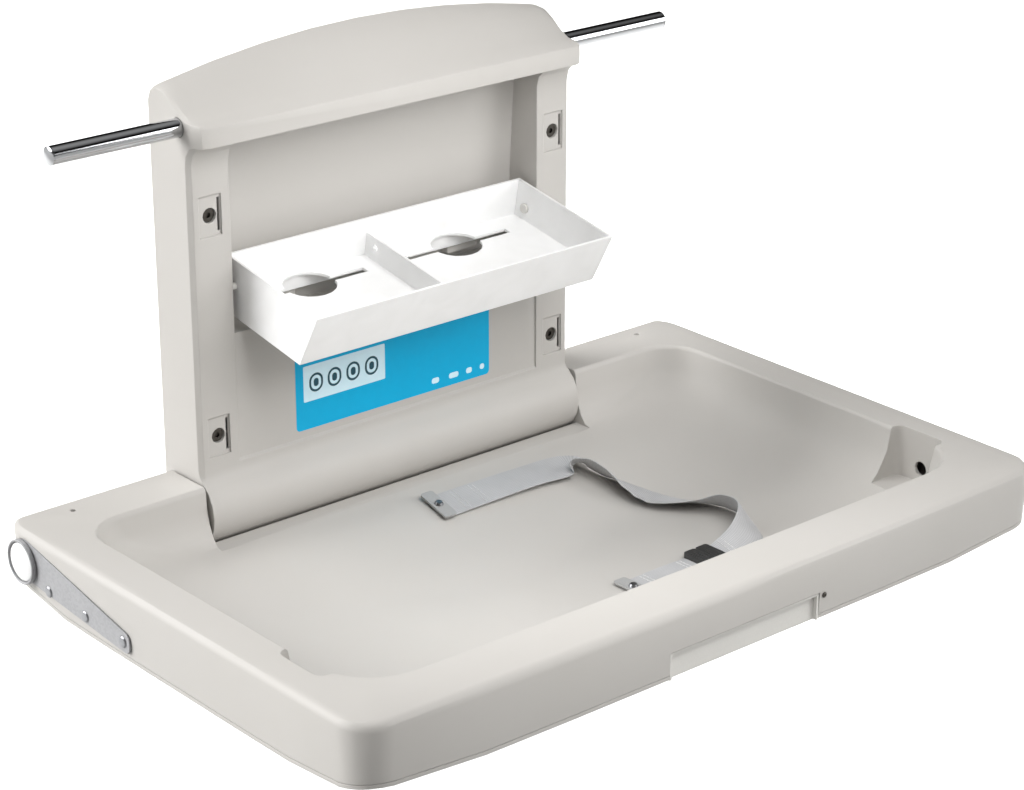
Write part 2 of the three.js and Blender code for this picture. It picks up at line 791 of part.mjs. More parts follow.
function bedShell() {
  const block = bedBlock(0, 0).intersect(rearRound(REAR_R));
  const hollow = cut(
    bedBlock(BED_WALL, 30).intersect(rearRound(REAR_R - BED_WALL)),
    basinSpace(BED_WALL),
    noseCut(BED_WALL),
    ...sides.map(([, side]) => rodNotch(side, BED_WALL)),
    ...sides.map(([, side]) => armRecess(side, BED_WALL)),
  );
  const spread = BED_HALF + 1;
  let body = cut(
    block,
    hollow,
    basinSpace(0),
    noseCut(0),
    ...sides.map(([, side]) => rodNotch(side, 0)),
    ...sides.map(([, side]) => armRecess(side, 0)),
    gripSlot(),
    barX(AXLE_R + SEAT_GAP, -spread, spread, hingeY, 0),
    ...sides.flatMap(([, side]) => [notchHole(side), rimHole(side)]),
  );
  for (const [, side] of sides) {
    for (const [y, z] of rivetSpots) {
      const from = side * (BED_HALF - ARM_T - BED_WALL * 3);
      const to = side * spread;
      const bore = barX(ARM_RIVET_R + SEAT_GAP, Math.min(from, to), Math.max(from, to), y, z, SMALL_ROUND);
      body = cut(body, bore);
    }
  }
  return body;
}

function bedBase() {
  const under = (x, y) => baseZ(x, y);
  const over = (x, y) => baseZ(x, y) + BASE_T;
  const foot = planRing(bedOutline(SKIRT_DRAFT), under);
  const lip = planRing(bedOutline(SKIRT_DRAFT), over);
  const shares = [...innerShares].reverse();
  const rings = [
    ...shares.map((share) => scaledRing(foot, share, under)),
    foot,
    lip,
    ...innerShares.map((share) => scaledRing(lip, share, over)),
  ];
  const pan = loft(rings).intersect(rearRound(REAR_R));
  return cut(pan, noseCut(0), gripSlot());
}

function hingeArm(side) {
  const from = side * (BED_HALF - ARM_T);
  const to = side * BED_HALF;
  const plate = prismX(armOutline(0), Math.min(from, to), Math.max(from, to));
  const spread = BED_HALF + 1;
  const holes = rivetSpots.map(([y, z]) =>
    barX(ARM_RIVET_R + SEAT_GAP, -spread, spread, y, z, SMALL_ROUND),
  );
  return cut(plate, barX(AXLE_R + SEAT_GAP, -spread, spread, hingeY, 0), ...holes);
}

function armRivet(side, y, z) {
  const inner = BED_HALF - ARM_T - BED_WALL;
  const headAt = BED_HALF + SEAT_GAP;
  const profile = [
    [0, inner],
    [ARM_RIVET_R, inner],
    [ARM_RIVET_R, headAt],
    [ARM_RIVET_HEAD_R, headAt],
    [ARM_RIVET_HEAD_R * 0.8, headAt + ARM_RIVET_HEAD_H * 0.7],
    [0, headAt + ARM_RIVET_HEAD_H],
  ];
  return lathed(profile, side, y, z, 12);
}

// Turned piece about a line along X, its profile given as radius and distance from the middle
function lathed(profile, side, y, z, sidesRound = ROUND) {
  const points = profile.map(([r, x]) => new THREE.Vector2(r, x));
  const geometry = new THREE.LatheGeometry(points, sidesRound);
  geometry.rotateZ(side > 0 ? -Math.PI / 2 : Math.PI / 2);
  geometry.translate(0, y, z);
  return solid(geometry);
}

function pivotCap(side) {
  const seat = BED_HALF + SEAT_GAP;
  const dome = [0.2, 0.4, 0.6, 0.8, 1].map((t) => {
    const turn = (Math.PI / 2) * t;
    return [CAP_R * Math.cos(turn), seat + 2 + (CAP_H - 2) * Math.sin(turn)];
  });
  dome.at(-1)[0] = 0;
  return lathed([[0, seat], [CAP_R, seat], [CAP_R, seat + 2], ...dome], side, hingeY, 0);
}

function gripInsert() {
  const left = GRIP_X - GRIP_HALF;
  const right = GRIP_X + GRIP_HALF;
  const wallBack = frontY + BED_WALL + SKIRT_DRAFT + SEAT_GAP;
  const outer = box(left, right, frontY + SKIRT_DRAFT + SEAT_GAP, gripBackY, GRIP_LOW_Z, GRIP_TOP_Z);
  const flange = box(
    left - GRIP_FLANGE,
    right + GRIP_FLANGE,
    wallBack,
    wallBack + GRIP_WALL,
    GRIP_FLANGE_LOW_Z,
    GRIP_TOP_Z + GRIP_FLANGE,
  );
  const inside = box(
    left + GRIP_WALL,
    right - GRIP_WALL,
    frontY - BED_WALL,
    gripBackY - GRIP_WALL,
    -BASE_DEPTH,
    GRIP_TOP_Z - GRIP_WALL,
  );
  return cut(join(outer, flange), inside);
}

// Hanging rod and its fittings

function hangRod() {
  const tube = barX(ROD_R, -ROD_HALF + ROD_PLUG_FACE, ROD_HALF - ROD_PLUG_FACE, -ROD_OUT, ROD_Z);
  return cut(tube, barX(ROD_R - ROD_WALL, -ROD_HALF, ROD_HALF, -ROD_OUT, ROD_Z));
}

function rodPlug(side) {
  const face = ROD_HALF - ROD_PLUG_FACE + SEAT_GAP;
  const spigot = ROD_R - ROD_WALL - SEAT_GAP;
  const profile = [
    [0, face - ROD_PLUG_DEEP],
    [spigot, face - ROD_PLUG_DEEP],
    [spigot, face],
    [ROD_R, face],
    [ROD_R, face + ROD_PLUG_FACE * 0.6],
    [ROD_R * 0.85, face + ROD_PLUG_FACE],
    [0, face + ROD_PLUG_FACE],
  ];
  return lathed(profile, side, -ROD_OUT, ROD_Z);
}

// Hinge pieces inside the nose

function hingeBush(side) {
  const bore = AXLE_R + RUN_GAP;
  const barrel = bore + BUSH_WALL;
  const inner = HOUSING_HALF - HOUSING_WALL - 2;
  const face = HOUSING_HALF + SEAT_GAP;
  const profile = [
    [bore, inner],
    [barrel, inner],
    [barrel, face],
    [barrel + BUSH_FLANGE_RIM, face],
    [barrel + BUSH_FLANGE_RIM, face + BUSH_FLANGE],
    [bore, face + BUSH_FLANGE],
    [bore, inner],
  ];
  return lathed(profile, side, hingeY, 0);
}

function hingeAxle() {
  const end = BED_HALF - SEAT_GAP;
  return barX(AXLE_R, -end, end, hingeY, 0);
}

const rotorHalf = DAMPER_HALF + DAMPER_SPIGOT_L - ROTOR_SHORT;

function damperBody() {
  const tube = barX(DAMPER_R, -DAMPER_HALF, DAMPER_HALF, hingeY, 0);
  const long = DAMPER_HALF + DAMPER_SPIGOT_L;
  const spigots = barX(DAMPER_SPIGOT_R, -long, long, hingeY, 0);
  const chamber = barX(ROTOR_R + RUN_GAP, -rotorHalf - 1, rotorHalf + 1, hingeY, 0);
  return cut(join(tube, spigots), chamber, barX(AXLE_R + RUN_GAP, -long - 1, long + 1, hingeY, 0));
}

function damperRotor() {
  const sleeve = barX(ROTOR_R, -rotorHalf, rotorHalf, hingeY, 0);
  return cut(sleeve, barX(AXLE_R + SEAT_GAP, -rotorHalf - 1, rotorHalf + 1, hingeY, 0));
}

// Dispenser tray

// Prism along X of an outline given in the tray's own u and v
const trayPrism = (outline, x0, x1) => prismX(outline.map(([u, v]) => trayPoint(u, v)), x0, x1);

function pullHole(x) {
  const shape = new THREE.Shape();
  const steps = 20;
  for (let i = 0; i < steps; i += 1) {
    const turn = (2 * Math.PI * i) / steps;
    const px = PULL_HOLE_HALF_X * Math.cos(turn);
    const py = PULL_HOLE_HALF_Y * Math.sin(turn);
    shape[i ? "lineTo" : "moveTo"](x + px, py);
  }
  const middle = PULL_HOLE_BACK;
  const depth = TRAY_H;
  const oval = new THREE.ExtrudeGeometry(shape, { depth, bevelEnabled: false });
  const slitHalf = (trayHalf - Math.abs(TRAY_DIVIDER_X)) / 2 - PULL_SLIT_END_GAP;
  const slit = new THREE.BoxGeometry(slitHalf * 2, PULL_SLIT_W, depth);
  slit.translate(x, 0, depth / 2);
  const place = (geometry) => {
    geometry.translate(0, -middle, -TRAY_FLOOR_DOWN - depth / 2);
    geometry.rotateX(tilt);
    geometry.translate(0, -TRAY_REAR_OUT, TRAY_REAR_Z);
    return solid(geometry);
  };
  return join(place(oval), place(slit));
}

function dispenserTray() {
  const slope = TRAY_FRONT_LEAN / TRAY_H;
  const frontAt = (v) => TRAY_RIM_DEEP + slope * v;
  const outer = [
    [0, 0],
    [0, -TRAY_H],
    [frontAt(-TRAY_H), -TRAY_H],
    [frontAt(0), 0],
  ];
  const inset = TRAY_WALL;
  const above = [
    [inset, 5],
    [inset, -TRAY_FLOOR_DOWN + TRAY_WALL],
    [frontAt(-TRAY_FLOOR_DOWN + TRAY_WALL) - inset, -TRAY_FLOOR_DOWN + TRAY_WALL],
    [frontAt(5) - inset, 5],
  ];
  const below = [
    [inset, -TRAY_FLOOR_DOWN],
    [inset, -TRAY_H - 5],
    [frontAt(-TRAY_H - 5) - inset, -TRAY_H - 5],
    [frontAt(-TRAY_FLOOR_DOWN) - inset, -TRAY_FLOOR_DOWN],
  ];
  const inHalf = trayHalf - TRAY_WALL;
  const pan = cut(
    trayPrism(outer, -trayHalf, trayHalf),
    trayPrism(above, -inHalf, inHalf),
    trayPrism(below, -inHalf, inHalf),
  );
  const divider = [
    [inset / 2, -TRAY_DIVIDER_DOWN],
    [inset / 2, -TRAY_FLOOR_DOWN + 1],
    [frontAt(-TRAY_FLOOR_DOWN) - inset / 2, -TRAY_FLOOR_DOWN + 1],
    [frontAt(-TRAY_DIVIDER_DOWN) - inset / 2, -TRAY_DIVIDER_DOWN],
  ];
  const dividerHalf = TRAY_WALL / 2;
  const wall = trayPrism(divider, TRAY_DIVIDER_X - dividerHalf, TRAY_DIVIDER_X + dividerHalf);
  const whole = join(pan, wall);
  const holes = [-trayHalf, trayHalf].map((end) =>
    pullHole((TRAY_DIVIDER_X + end) / 2 + PULL_HOLE_SHIFT),
  );
  const wide = trayHalf + 1;
  const pinBore = barX(TRAY_PIN_R + SEAT_GAP, -wide, wide, trayPivotY, trayPivotZ, SMALL_ROUND);
  return cut(whole, ...holes, pinBore);
}

function trayPin(side) {
  const inner = trayHalf - TRAY_WALL - SEAT_GAP;
  const profile = [
    [0, inner - TRAY_PIN_HEAD],
    [TRAY_PIN_R + TRAY_PIN_RIM, inner - TRAY_PIN_HEAD],
    [TRAY_PIN_R + TRAY_PIN_RIM, inner],
    [TRAY_PIN_R, inner],
    [TRAY_PIN_R, recessHalf + TRAY_PIN_SEAT - RUN_GAP],
    [0, recessHalf + TRAY_PIN_SEAT - RUN_GAP],
  ];
  return lathed(profile, side, trayPivotY, trayPivotZ, SMALL_ROUND);
}

// Safety belt, lying in the basin

const up = new THREE.Vector3(0, 0, 1);

// Direction square to the basin's floor
function floorUp(x, y) {
  const reach = 5;
  const alongX = (floorZ(x + reach, y) - floorZ(x - reach, y)) / (2 * reach);
  const alongY = (floorZ(x, y + reach) - floorZ(x, y - reach)) / (2 * reach);
  return new THREE.Vector3(-alongX, -alongY, 1).normalize();
}

function overFloor(x, y, lift) {
  return new THREE.Vector3(x, y, floorZ(x, y)).addScaledVector(floorUp(x, y), lift);
}

// Ribbon along a path over the floor. Each stop gives x, y and how far the ribbon leans,
// from 0 lying flat to 90 standing on its edge. Below 0 it leans the other way.
function ribbon(stops, steps) {
  const spots = stops.map(([x, y, lean]) => {
    const turn = THREE.MathUtils.degToRad(lean);
    const half = (BELT_W * Math.abs(Math.sin(turn)) + BELT_T * Math.cos(turn)) / 2;
    return overFloor(x, y, BELT_LIFT + half);
  });
  const leans = new THREE.CatmullRomCurve3(
    stops.map(([, , lean], i) => new THREE.Vector3(i, THREE.MathUtils.degToRad(lean), 0)),
  );
  const curve = new THREE.CatmullRomCurve3(spots);
  const rings = Array.from({ length: steps + 1 }, (_, i) => {
    const t = i / steps;
    const at = curve.getPoint(t);
    const along = curve.getTangent(t);
    const normal = floorUp(at.x, at.y);
    const lean = leans.getPoint(t).y;
    const level = new THREE.Vector3().crossVectors(normal, along).normalize();
    const wide = level.multiplyScalar(Math.cos(lean)).addScaledVector(normal, Math.sin(lean));
    const thick = new THREE.Vector3().crossVectors(along, wide).normalize();
    wide.crossVectors(thick, along).normalize();
    const corners = [
      [1, 1],
      [-1, 1],
      [-1, -1],
      [1, -1],
    ];
    return corners.map(([a, b]) => {
      const point = at.clone().addScaledVector(wide, (a * BELT_W) / 2);
      return point.addScaledVector(thick, (b * BELT_T) / 2);
    });
  });
  return seated(loft(rings), up);
}

const anchorRear = [-8, -150];
const anchorFront = [56, -379];
const buckleAt = [160, -379];
const shell = bedShell();

// Lowers a piece until only the seat gap is left under it
function seated(piece, direction, under = shell) {
  const drop = SEAT_GAP - piece.minGap(under, BELT_W);
  return piece.translate(direction.x * drop, direction.y * drop, direction.z * drop);
}
const anchorReach = -ANCHOR_L / 4;
const buckleReach = BUCKLE_L + BELT_END_GAP;

const strapStops = [
  [anchorRear[0] + anchorReach, anchorRear[1], 0],
  [60, -151, 0],
  [130, -154, 0],
  [165, -163, 8],
  [182, -187, 20],
  [200, -220, 5],
  [219, -254, -20],
  [238, -290, 25],
  [247, -322, 60],
  [239, -356, 68],
  [212, -379, 32],
  [buckleAt[0] + buckleReach, buckleAt[1], 0],
];
const tailStops = [
  [buckleAt[0] - buckleReach, buckleAt[1], 0],
  [(buckleAt[0] + anchorFront[0]) / 2, (buckleAt[1] + anchorFront[1]) / 2, 0],
  [anchorFront[0] + anchorReach, anchorFront[1], 0],
];

// Flat piece laid on the basin's floor, its corners cut off
function floorPiece([x, y], long, wide, thick, lift, under = shell) {
  const corner = long / 8;
  const across = long / 2;
  const deep = wide / 2;
  const shape = new THREE.Shape();
  shape.moveTo(corner - across, -deep);
  shape.lineTo(across - corner, -deep);
  shape.lineTo(across, corner - deep);
  shape.lineTo(across, deep - corner);
  shape.lineTo(across - corner, deep);
  shape.lineTo(corner - across, deep);
  shape.lineTo(-across, deep - corner);
  shape.lineTo(-across, corner - deep);
  const geometry = new THREE.ExtrudeGeometry(shape, { depth: thick, bevelEnabled: false });
  return seated(solid(laid(geometry, [x, y], lift)), floorUp(x, y), under);
}

function laid(geometry, [x, y], lift) {
  geometry.applyQuaternion(new THREE.Quaternion().setFromUnitVectors(up, floorUp(x, y)));
  const at = overFloor(x, y, lift);
  geometry.translate(at.x, at.y, at.z);
  return geometry;
}

const strap = ribbon(strapStops, BELT_STEPS);
const tail = ribbon(tailStops, BELT_STEPS / 6);

// Plate that clamps an end of the belt to the floor
const beltAnchor = (at, belt) => floorPiece(at, ANCHOR_L, ANCHOR_W, ANCHOR_T, BELT_W / 4, belt);

function anchorScrew(at, belt) {
  const geometry = new THREE.CylinderGeometry(
    ANCHOR_SCREW_R * 0.7,
    ANCHOR_SCREW_R,
    ANCHOR_SCREW_H,
    SMALL_ROUND,
  );
  geometry.rotateX(Math.PI / 2);
  const head = solid(laid(geometry, at, BELT_W / 2));
  return seated(head, floorUp(...at), beltAnchor(at, belt));
}

function buckleHalf(side) {
  const x = buckleAt[0] + (side * (BUCKLE_L + SEAT_GAP)) / 2;
  return floorPiece([x, buckleAt[1]], BUCKLE_L, BUCKLE_W, BUCKLE_T, BELT_LIFT);
}

// Materials

const finish = (color, roughness, metalness) =>
  new THREE.MeshStandardMaterial({ color, roughness, metalness });
const beigePlastic = finish(0xdcd8d0, 0.55, 0);
const whitePlastic = finish(0xf4f4f2, 0.45, 0);
const greySteel = finish(0xc4c4c5, 0.5, 0.6);
const polishedSteel = finish(0xd8dade, 0.15, 1);
const darkSteel = finish(0x5a5a5c, 0.4, 0.9);
const blackPlastic = finish(0x3c3c3a, 0.5, 0);
const greyPlastic = finish(0xd0cfcc, 0.5, 0);
const webbing = finish(0xcdcdcf, 0.9, 0);

const station = new THREE.Group();

function place(name, made, material) {
  const mesh = new THREE.Mesh(geometryOf(made), material.clone());
  mesh.name = name;
  station.add(mesh);
}

place("wall_plate", wallPlate(), greySteel);
place("back_housing", backHousing(), beigePlastic);
place("hang_rod", hangRod(), polishedSteel);
place("damper_body", damperBody(), darkSteel);
place("damper_rotor", damperRotor(), greySteel);
place("hinge_axle", hingeAxle(), greySteel);
place("bed_shell", shell, beigePlastic);
place("bed_base", bedBase(), beigePlastic);
place("grip_insert", gripInsert(), greyPlastic);
place("dispenser_tray", dispenserTray(), whitePlastic);

screwSpots.forEach(([x, z], i) => place(`pillar_screw_${i + 1}`, pillarScrew(x, z), darkSteel));

place("belt_strap", strap, webbing);
place("belt_tail", tail, webbing);
place("buckle_socket", buckleHalf(1), blackPlastic);
place("buckle_tongue", buckleHalf(-1), blackPlastic);
place("belt_anchor_rear", beltAnchor(anchorRear, strap), greyPlastic);
place("belt_anchor_front", beltAnchor(anchorFront, tail), greyPlastic);
place("anchor_screw_rear", anchorScrew(anchorRear, strap), polishedSteel);
place("anchor_screw_front", anchorScrew(anchorFront, tail), polishedSteel);

for (const [name, side] of sides) {
  place(`rod_plug_${name}`, rodPlug(side), polishedSteel);
  place(`hinge_bush_${name}`, hingeBush(side), blackPlastic);
  place(`hinge_arm_${name}`, hingeArm(side), greySteel);
  place(`pivot_cap_${name}`, pivotCap(side), whitePlastic);
  place(`tray_pin_${name}`, trayPin(side), greySteel);
  rivetSpots.forEach(([y, z], i) => {
    place(`arm_rivet_${name}_${i + 1}`, armRivet(side, y, z), greySteel);
  });
}

export default station;
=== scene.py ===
# %% [markdown]
# # A baby changing station
# The station is a hooded back unit on a wall, with a moulded bed that folds down from it, a small paper tray,
# a steel rod and a safety belt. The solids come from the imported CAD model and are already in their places.
# This lesson gives the solids their real finishes, and adds what a solid model leaves out: the belt's weave, the
# buckle's grip, the sign and small fittings. All sizes are in metres, with X along the wall, Y into the wall and Z up.

# %% Load the CAD frame
import math

import bmesh
import bpy
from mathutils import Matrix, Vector
from mathutils.bvhtree import BVHTree


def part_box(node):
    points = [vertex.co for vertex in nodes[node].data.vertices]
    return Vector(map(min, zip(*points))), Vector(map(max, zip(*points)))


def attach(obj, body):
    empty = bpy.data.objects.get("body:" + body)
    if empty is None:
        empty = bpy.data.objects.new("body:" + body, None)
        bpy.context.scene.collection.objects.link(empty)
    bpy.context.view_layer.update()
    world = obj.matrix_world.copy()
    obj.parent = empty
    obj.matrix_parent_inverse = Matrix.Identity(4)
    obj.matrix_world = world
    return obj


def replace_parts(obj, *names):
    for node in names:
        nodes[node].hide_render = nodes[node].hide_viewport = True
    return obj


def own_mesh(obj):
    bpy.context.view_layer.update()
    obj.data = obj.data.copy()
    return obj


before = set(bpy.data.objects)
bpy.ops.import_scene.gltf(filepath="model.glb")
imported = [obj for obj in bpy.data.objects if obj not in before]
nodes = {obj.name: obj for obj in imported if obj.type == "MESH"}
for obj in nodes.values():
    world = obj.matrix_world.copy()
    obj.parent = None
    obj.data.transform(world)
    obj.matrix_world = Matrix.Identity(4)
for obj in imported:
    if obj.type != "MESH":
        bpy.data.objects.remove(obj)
bpy.context.view_layer.update()
MM = 0.001
print("CAD nodes:", len(nodes))

# %% [markdown]
# ## The camera
# The camera comes first, because everything later is judged through it. Its place and its long lens were worked out
# from the photograph's edges, with the station's width as the known size. The picture is 1024 by 790, so the sensor's
# width goes with the picture's width.

# %% Camera
camera_data = bpy.data.cameras.new("camera")
camera_data.sensor_width = 36
camera_data.lens = 99.9
camera_data.clip_end = 60
camera = bpy.data.objects.new("camera", camera_data)
camera.location = (-1.693, -2.241, 1.172)
view_direction = Vector((0.6025, 0.7055, -0.3730))
camera.rotation_mode = "QUATERNION"
camera.rotation_quaternion = view_direction.to_track_quat("-Z", "Y")
bpy.context.scene.collection.objects.link(camera)
bpy.context.scene.camera = camera
print("camera looks down by", round(math.degrees(math.asin(-view_direction.z)), 1), "degrees")

# %% [markdown]
# ## Two helpers for finishes
# Colours are picked as sRGB hex values, as on a screen, but shaders add light up in linear values. One function turns
# the first into the second. The other adds a node to a material, with its settings, plain values and links in one
# call, so that a finish can be read from top to bottom.

# %% Colour and node helpers
def linear(hex_colour):
    """Linear RGBA of an sRGB hex colour."""
    values = [int(hex_colour[i : i + 2], 16) / 255 for i in (1, 3, 5)]
    return [v / 12.92 if v <= 0.04045 else ((v + 0.055) / 1.055) ** 2.4 for v in values] + [1.0]


def add(tree, kind, settings=None, values=None, links=None):
    """A new node in the tree, with its settings, its sockets' values and the sockets that feed it."""
    made = tree.nodes.new(kind)
    for name, value in (settings or {}).items():
        setattr(made, name, value)
    for socket, value in (values or {}).items():
        made.inputs[socket].default_value = value
    for socket, source in (links or {}).items():
        tree.links.new(source, made.inputs[socket])
    return made


def new_finish(name, values):
    """A material with one Principled shader that has these values, its tree, its shader and its place in the part."""
    material = bpy.data.materials.new(name)
    material.use_nodes = True
    tree = material.node_tree
    shader = tree.nodes["Principled BSDF"]
    for socket, value in values.items():
        shader.inputs[socket].default_value = value
    place = add(tree, "ShaderNodeTexCoord").outputs["Object"]
    return material, tree, shader, place


print("a mid grey in linear light:", [round(v, 3) for v in linear("#808080")])

# %% [markdown]
# ## Polyethylene for the bed and the back unit
# Both big mouldings are thick polyethylene, a waxy plastic that is tough and easy to wipe. The mould was lightly
# blasted, so the skin is satin with a fine pebble grain, and its large faces are never quite flat. The Bevel node
# rounds each edge as a mould does, without any change to the solid, and the difference between the rounded and the
# plain direction finds the edges, where hands have polished the plastic a little.

# %% Finish: polyethylene
def polyethylene(name, colour, shade):
    """Waxy beige plastic: soft broad highlights, a grain that only shows in them, and paler worn edges."""
    material, tree, shader, place = new_finish(name, {"IOR": 1.51, "Specular IOR Level": 0.3})
    cloud = add(tree, "ShaderNodeTexNoise", values={"Scale": 1 / 0.16, "Detail": 3.0}, links={"Vector": place})
    tint = add(tree, "ShaderNodeMix", {"data_type": "RGBA"}, {"A": linear(colour), "B": linear(shade)},
               {"Factor": cloud.outputs["Fac"]})
    rounded = add(tree, "ShaderNodeBevel", {"samples": 4}, {"Radius": 1.6 * MM})
    plain = add(tree, "ShaderNodeNewGeometry")
    facing = add(tree, "ShaderNodeVectorMath", {"operation": "DOT_PRODUCT"},
                 links={0: rounded.outputs["Normal"], 1: plain.outputs["Normal"]})
    edge = add(tree, "ShaderNodeMapRange", values={"From Min": 0.995, "From Max": 0.8, "To Max": 0.5},
               links={"Value": facing.outputs["Value"]})
    worn = add(tree, "ShaderNodeMix", {"data_type": "RGBA"}, {"B": linear("#CCC9C5")},
               {"Factor": edge.outputs["Result"], "A": tint.outputs["Result"]})
    tree.links.new(worn.outputs["Result"], shader.inputs["Base Color"])
    # The real pebble is about 0.6 mm. It is drawn at 2 mm, the finest that the picture can hold.
    pebble = add(tree, "ShaderNodeTexNoise", values={"Scale": 1 / (2 * MM), "Detail": 1.0}, links={"Vector": place})
    rough = add(tree, "ShaderNodeMapRange", values={"To Min": 0.42, "To Max": 0.56},
                links={"Value": cloud.outputs["Fac"]})
    tree.links.new(rough.outputs["Result"], shader.inputs["Roughness"])
    # Cooling pulls a large moulded face into shallow waves, about 90 mm from one to the next
    wave = add(tree, "ShaderNodeTexNoise", values={"Scale": 1 / 0.09, "Detail": 0.0}, links={"Vector": place})
    sunk = add(tree, "ShaderNodeBump", values={"Strength": 0.25, "Distance": 1.2 * MM},
               links={"Height": wave.outputs["Fac"], "Normal": rounded.outputs["Normal"]})
    grained = add(tree, "ShaderNodeBump", values={"Strength": 0.1, "Distance": 0.25 * MM},
                  links={"Height": pebble.outputs["Fac"], "Normal": sunk.outputs["Normal"]})
    tree.links.new(grained.outputs["Normal"], shader.inputs["Normal"])
    return material


moulded_beige = polyethylene("moulded_polyethylene_beige", "#BDBAB6", "#B7B4AF")
print("finish:", moulded_beige.name)

# %% [markdown]
# ## Polystyrene for the tray and the caps
# The tray is injection moulded from white impact polystyrene. Its mould was polished, so it is smoother and glossier
# than the bed, with faint flow marks. It shows as the whitest part of the station. One noise pattern sets both its
# tint and its gloss, because a flow mark changes the two together.

# %% Finish: polystyrene
def polystyrene(name, colour):
    """Glossy white plastic: sharper highlights than the bed, with faint flow marks."""
    material, tree, shader, place = new_finish(name, {"IOR": 1.59})
    flow = add(tree, "ShaderNodeTexNoise", values={"Scale": 1 / 0.05, "Detail": 2.0, "Distortion": 1.5},
               links={"Vector": place})
    tint = add(tree, "ShaderNodeMix", {"data_type": "RGBA"}, {"A": linear(colour), "B": linear("#EAEAE9")},
               {"Factor": flow.outputs["Fac"]})
    tree.links.new(tint.outputs["Result"], shader.inputs["Base Color"])
    rough = add(tree, "ShaderNodeMapRange", values={"To Min": 0.28, "To Max": 0.4},
                links={"Value": flow.outputs["Fac"]})
    tree.links.new(rough.outputs["Result"], shader.inputs["Roughness"])
    rounded = add(tree, "ShaderNodeBevel", {"samples": 4}, {"Radius": 1.3 * MM})
    # Fine mould texture of 1.5 mm, coarser than the real one so that it shows
    fine = add(tree, "ShaderNodeTexNoise", values={"Scale": 1 / (1.5 * MM), "Detail": 1.0}, links={"Vector": place})
    grained = add(tree, "ShaderNodeBump", values={"Strength": 0.06, "Distance": 0.15 * MM},
                  links={"Height": fine.outputs["Fac"], "Normal": rounded.outputs["Normal"]})
    tree.links.new(grained.outputs["Normal"], shader.inputs["Normal"])
    return material


moulded_white = polystyrene("moulded_polystyrene_white", "#F5F5F5")
print("finish:", moulded_white.name)

# %% [markdown]
# ## Steel: polished, powder coated and zinc plated
# The rod is polished stainless tube, so it mirrors the room in long streaks, broken only by fine marks along it. The
# arms are mild steel with a grey powder coat, which dries to a speckled, slightly lumpy skin. Screws, pins and the
# hidden axle are zinc plated, which is a duller metal with cloudy patches. All three could be pictures wrapped round
# the solids, but patterns in the part's own coordinates have no seams and the same scale everywhere.

# %% Finish: polished stainless steel
def polished_stainless(name):
    """Mirror-like metal with fine polishing lines along the tube, which draw its reflections out."""
    material, tree, shader, place = new_finish(
        name, {"Metallic": 1.0, "Base Color": linear("#C6C7C9"), "Anisotropic": 0.3})
    drawn = add(tree, "ShaderNodeMapping", values={"Scale": (0.02, 1.0, 1.0)}, links={"Vector": place})
    # Polishing lines of 0.7 mm, a few times coarser than real ones so that they show
    lines = add(tree, "ShaderNodeTexNoise", values={"Scale": 1 / (0.7 * MM), "Detail": 2.0},
                links={"Vector": drawn.outputs["Vector"]})
    rough = add(tree, "ShaderNodeMapRange", values={"To Min": 0.06, "To Max": 0.14},
                links={"Value": lines.outputs["Fac"]})
    tree.links.new(rough.outputs["Result"], shader.inputs["Roughness"])
    groove = add(tree, "ShaderNodeBump", values={"Strength": 0.05, "Distance": 0.05 * MM},
                 links={"Height": lines.outputs["Fac"]})
    tree.links.new(groove.outputs["Normal"], shader.inputs["Normal"])
    return material


stainless = polished_stainless("polished_stainless_steel")
print("finish:", stainless.name)

# %% Finish: powder coated steel
def powder_coat(name, colour, fleck):
    """Grey coating with dark and pale flecks, lumpy like orange peel, so its highlight breaks up."""
    material, tree, shader, place = new_finish(name, {"IOR": 1.5, "Roughness": 0.5})
    # Flecks of 2.2 mm, about three times the real ones so that they show
    flecks = add(tree, "ShaderNodeTexVoronoi", values={"Scale": 1 / (2.2 * MM)}, links={"Vector": place})
    mask = add(tree, "ShaderNodeMapRange", values={"From Min": 0.35, "From Max": 0.75},
               links={"Value": flecks.outputs["Color"]})
    tint = add(tree, "ShaderNodeMix", {"data_type": "RGBA"}, {"A": linear(colour), "B": linear(fleck)},
               {"Factor": mask.outputs["Result"]})
    tree.links.new(tint.outputs["Result"], shader.inputs["Base Color"])
    rounded = add(tree, "ShaderNodeBevel", {"samples": 4}, {"Radius": 0.7 * MM})
    peel = add(tree, "ShaderNodeTexNoise", values={"Scale": 1 / (3 * MM), "Detail": 1.0}, links={"Vector": place})
    lumpy = add(tree, "ShaderNodeBump", values={"Strength": 0.2, "Distance": 0.3 * MM},
                links={"Height": peel.outputs["Fac"], "Normal": rounded.outputs["Normal"]})
    tree.links.new(lumpy.outputs["Normal"], shader.inputs["Normal"])
    return material


coated_grey = powder_coat("powder_coated_steel_grey", "#A1A1A3", "#99999B")
print("finish:", coated_grey.name)

# %% Finish: zinc plated steel
def zinc_plate(name, colour, patch):
    """Dull metal whose plating has grown in cloudy patches of light and dark."""
    material, tree, shader, place = new_finish(name, {"Metallic": 1.0})
    clouds = add(tree, "ShaderNodeTexNoise", values={"Scale": 1 / (6 * MM), "Detail": 4.0}, links={"Vector": place})
    tint = add(tree, "ShaderNodeMix", {"data_type": "RGBA"}, {"A": linear(colour), "B": linear(patch)},
               {"Factor": clouds.outputs["Fac"]})
    tree.links.new(tint.outputs["Result"], shader.inputs["Base Color"])
    rough = add(tree, "ShaderNodeMapRange", values={"To Min": 0.28, "To Max": 0.5},
                links={"Value": clouds.outputs["Fac"]})
    tree.links.new(rough.outputs["Result"], shader.inputs["Roughness"])
    rounded = add(tree, "ShaderNodeBevel", {"samples": 4}, {"Radius": 0.4 * MM})
    tree.links.new(rounded.outputs["Normal"], shader.inputs["Normal"])
    return material


